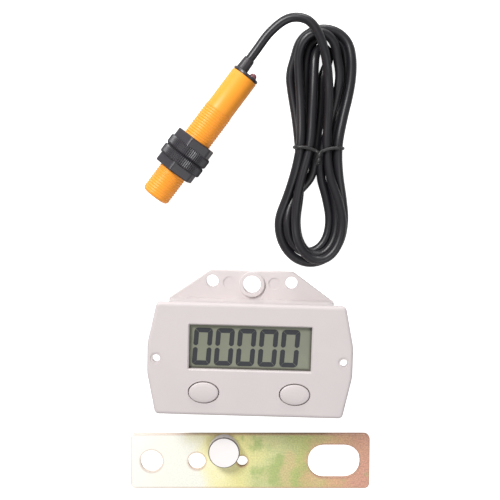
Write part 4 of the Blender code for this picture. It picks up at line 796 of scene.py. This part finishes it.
def plated_bar_material():
    """Yellow passivated zinc: pale at one end, green midway, copper at the other and the rims."""
    made = plain_material("plated_bar", PLATE_PLAIN, PLATE_ROUGHNESS, PLATE_METALLIC)
    tree = made.node_tree
    shader = tree.nodes["Principled BSDF"]
    places = centred_places(tree, BAR_X, BAR_Y, BAR_TURN)
    split = tree.nodes.new("ShaderNodeSeparateXYZ")
    tree.links.new(places, split.inputs["Vector"])
    along = even_range(tree, split.outputs["X"], (-BAR_LENGTH / 2, BAR_LENGTH / 2))
    cloud = noise_node(tree, places, *CLOUD_NOISE)
    drift = math_node(tree, "MULTIPLY", math_node(tree, "SUBTRACT", cloud, 0.5), CLOUD_DRIFT)
    color = ramp_node(tree, math_node(tree, "ADD", along, drift), PLATE_COLORS)
    for noise, noise_span, length_span, strength, blotch_color in BLOTCHES:
        blotch = smooth_range(tree, noise_node(tree, places, *noise), *noise_span)
        inside = smooth_range(tree, along, *length_span)
        color = mix_colors(tree, product(tree, blotch, inside, strength), color, blotch_color)
    rim = bar_rim(tree, split, math_node(tree, "ABSOLUTE", split.outputs["Y"]))
    rim_share = math_node(tree, "ADD", product(tree, along, RIM_GAIN), RIM_LEFT)
    color = mix_colors(tree, product(tree, rim, rim_share), color, RIM_COLOR)
    speckle = noise_node(tree, places, *SPECKLE_NOISE)
    speckled = ramp_node(tree, speckle, SPECKLE_COLORS)
    color = mix_colors(tree, product(tree, along, SPECKLE_GAIN), color, speckled, "MULTIPLY")
    tree.links.new(color, shader.inputs["Base Color"])
    tree.links.new(bump_node(tree, speckle, *SPECKLE_BUMP), shader.inputs["Normal"])
    return made


def display_material():
    """The liquid crystal's grey-green face, darker where the window's walls shade its edges."""
    made = plain_material("lcd_face", FACE_PLAIN, FACE_ROUGHNESS)
    tree = made.node_tree
    shader = tree.nodes["Principled BSDF"]
    places = centred_places(tree, 0, WINDOW_Y, 0)
    split = tree.nodes.new("ShaderNodeSeparateXYZ")
    tree.links.new(places, split.inputs["Vector"])
    shade = None
    for axis, side, half, reach, depth in WINDOW_SHADES:
        outward = product(tree, split.outputs[axis], side)
        near = product(tree, smooth_range(tree, outward, half - reach, half), depth)
        shade = near if shade is None else math_node(tree, "MAXIMUM", shade, near)
    mottled = ramp_node(tree, noise_node(tree, places, *FACE_NOISE), FACE_COLORS)
    shaded = mix_colors(tree, shade, mottled, SHADE_COLOR)
    tree.links.new(shaded, shader.inputs["Base Color"])
    grain = noise_node(tree, places, *FACE_GRAIN_NOISE)
    tree.links.new(bump_node(tree, grain, *FACE_BUMP), shader.inputs["Normal"])
    return made


def paint_bevel_shade(made):
    """Paints shade on a material's bevels and a little on its sides; level faces keep their colour.
    """
    tree = made.node_tree
    shader = tree.nodes["Principled BSDF"]
    face_color = shader.inputs["Base Color"].links[0].from_socket
    facing = tree.nodes.new("ShaderNodeNewGeometry")
    split = tree.nodes.new("ShaderNodeSeparateXYZ")
    tree.links.new(facing.outputs["Normal"], split.inputs["Vector"])
    tilted = smooth_range(tree, split.outputs["Z"], *LEVEL_TO_BEVEL)
    bevel = product(tree, smooth_range(tree, split.outputs["Z"], *SIDE_TO_BEVEL), BEVEL_SHARE)
    # Painted shade: strongest on bevels, weaker on upright sides
    bevel_shade = product(tree, tilted, math_node(tree, "ADD", bevel, SIDE_SHARE))
    darkened = mix_colors(tree, bevel_shade, face_color, BEVEL_SHADE_COLOR)
    tree.links.new(darkened, shader.inputs["Base Color"])


def make_materials():
    """A detailed material for each of the part's material slots, and for the added pieces."""
    group = make_grain_group()
    made = {}
    for name, color, roughness, metallic, mottle, grain_scale, grain_depth in LOOKS:
        plain = plain_material(name, color, roughness, metallic)
        made[name] = grained(plain, group, mottle, grain_scale, grain_depth)
    # Painted shade on the magnet's bevels and sides
    paint_bevel_shade(made["nickel"])
    made["zinc_plate"] = plated_bar_material()
    made["lcd_face"] = display_material()
    return made


def make_studio():
    """A white table, dim even surroundings and soft lamps."""
    world = bpy.data.worlds.new("studio")
    bpy.context.scene.world = world
    world.use_nodes = True
    surround = world.node_tree.nodes["Background"]
    surround.inputs["Color"].default_value = (1, 1, 1, 1)
    surround.inputs["Strength"].default_value = SURROUND_LIGHT
    mesh = bpy.data.meshes.new("table")
    corners = [(TABLE_HALF * x, TABLE_HALF * y, 0) for x, y in ((-1, -1), (1, -1), (1, 1), (-1, 1))]
    mesh.from_pydata(corners, [], [(0, 1, 2, 3)])
    table = link(bpy.data.objects.new("table", mesh))
    white = bpy.data.materials.new("table_white")
    white.use_nodes = True
    tree = white.node_tree
    shader = tree.nodes["Principled BSDF"]
    shader.inputs["Base Color"].default_value = (TABLE_WHITE, TABLE_WHITE, TABLE_WHITE, 1)
    shader.inputs["Roughness"].default_value = TABLE_ROUGHNESS
    shader.inputs["Specular IOR Level"].default_value = 0.0
    shader.inputs["Emission Color"].default_value = (1, 1, 1, 1)
    seen = tree.nodes.new("ShaderNodeLightPath")
    glow = product(tree, seen.outputs["Is Camera Ray"], TABLE_GLOW)
    tree.links.new(glow, shader.inputs["Emission Strength"])
    mesh.materials.append(white)
    for name, place, size, power in LAMPS:
        data = bpy.data.lights.new(name, "AREA")
        data.shape = "SQUARE"
        data.size = size
        data.energy = power
        lamp = link(bpy.data.objects.new(name, data))
        lamp.location = place
        lamp.rotation_euler = (Vector(place) - LOOK_POINT).to_track_quat("Z", "Y").to_euler()
    bpy.context.scene.view_settings.view_transform = "Standard"


make_camera()
materials = make_materials()
route = cable_points()
jacket = materials["cord_jacket"]
cable = tube("sensor_cable", route, CORD_RADIUS, jacket, CORD_BEVEL, CORD_STEP, CORD_EASING)
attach(cable, "sensor")
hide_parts("sensor_lead", "lead_hank")
tie = tube("twisted_tie", tie_points(), TIE_RADIUS, materials["tie_jacket"], TIE_BEVEL, TIE_STEP)
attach(tie, "sensor")
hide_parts("hank_tie")

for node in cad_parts:
    if node not in REPLACED:
        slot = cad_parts[node].data.materials[0].name
        dress(node, materials[OTHER_LOOKS.get(node, slot)])
barrel = make_barrel(materials["orange_plastic"])
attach(barrel, "sensor")
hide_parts("sensor_barrel")
digits = make_digits(materials["digit_black"])
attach(digits, "counter")
for nut, side in (("front_nut", -1), ("rear_nut", 1)):
    lip = make_nut_lip(f"{nut}_lip", side, materials["black_plastic"])
    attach(lip, NUT_BODIES[nut])
make_studio()
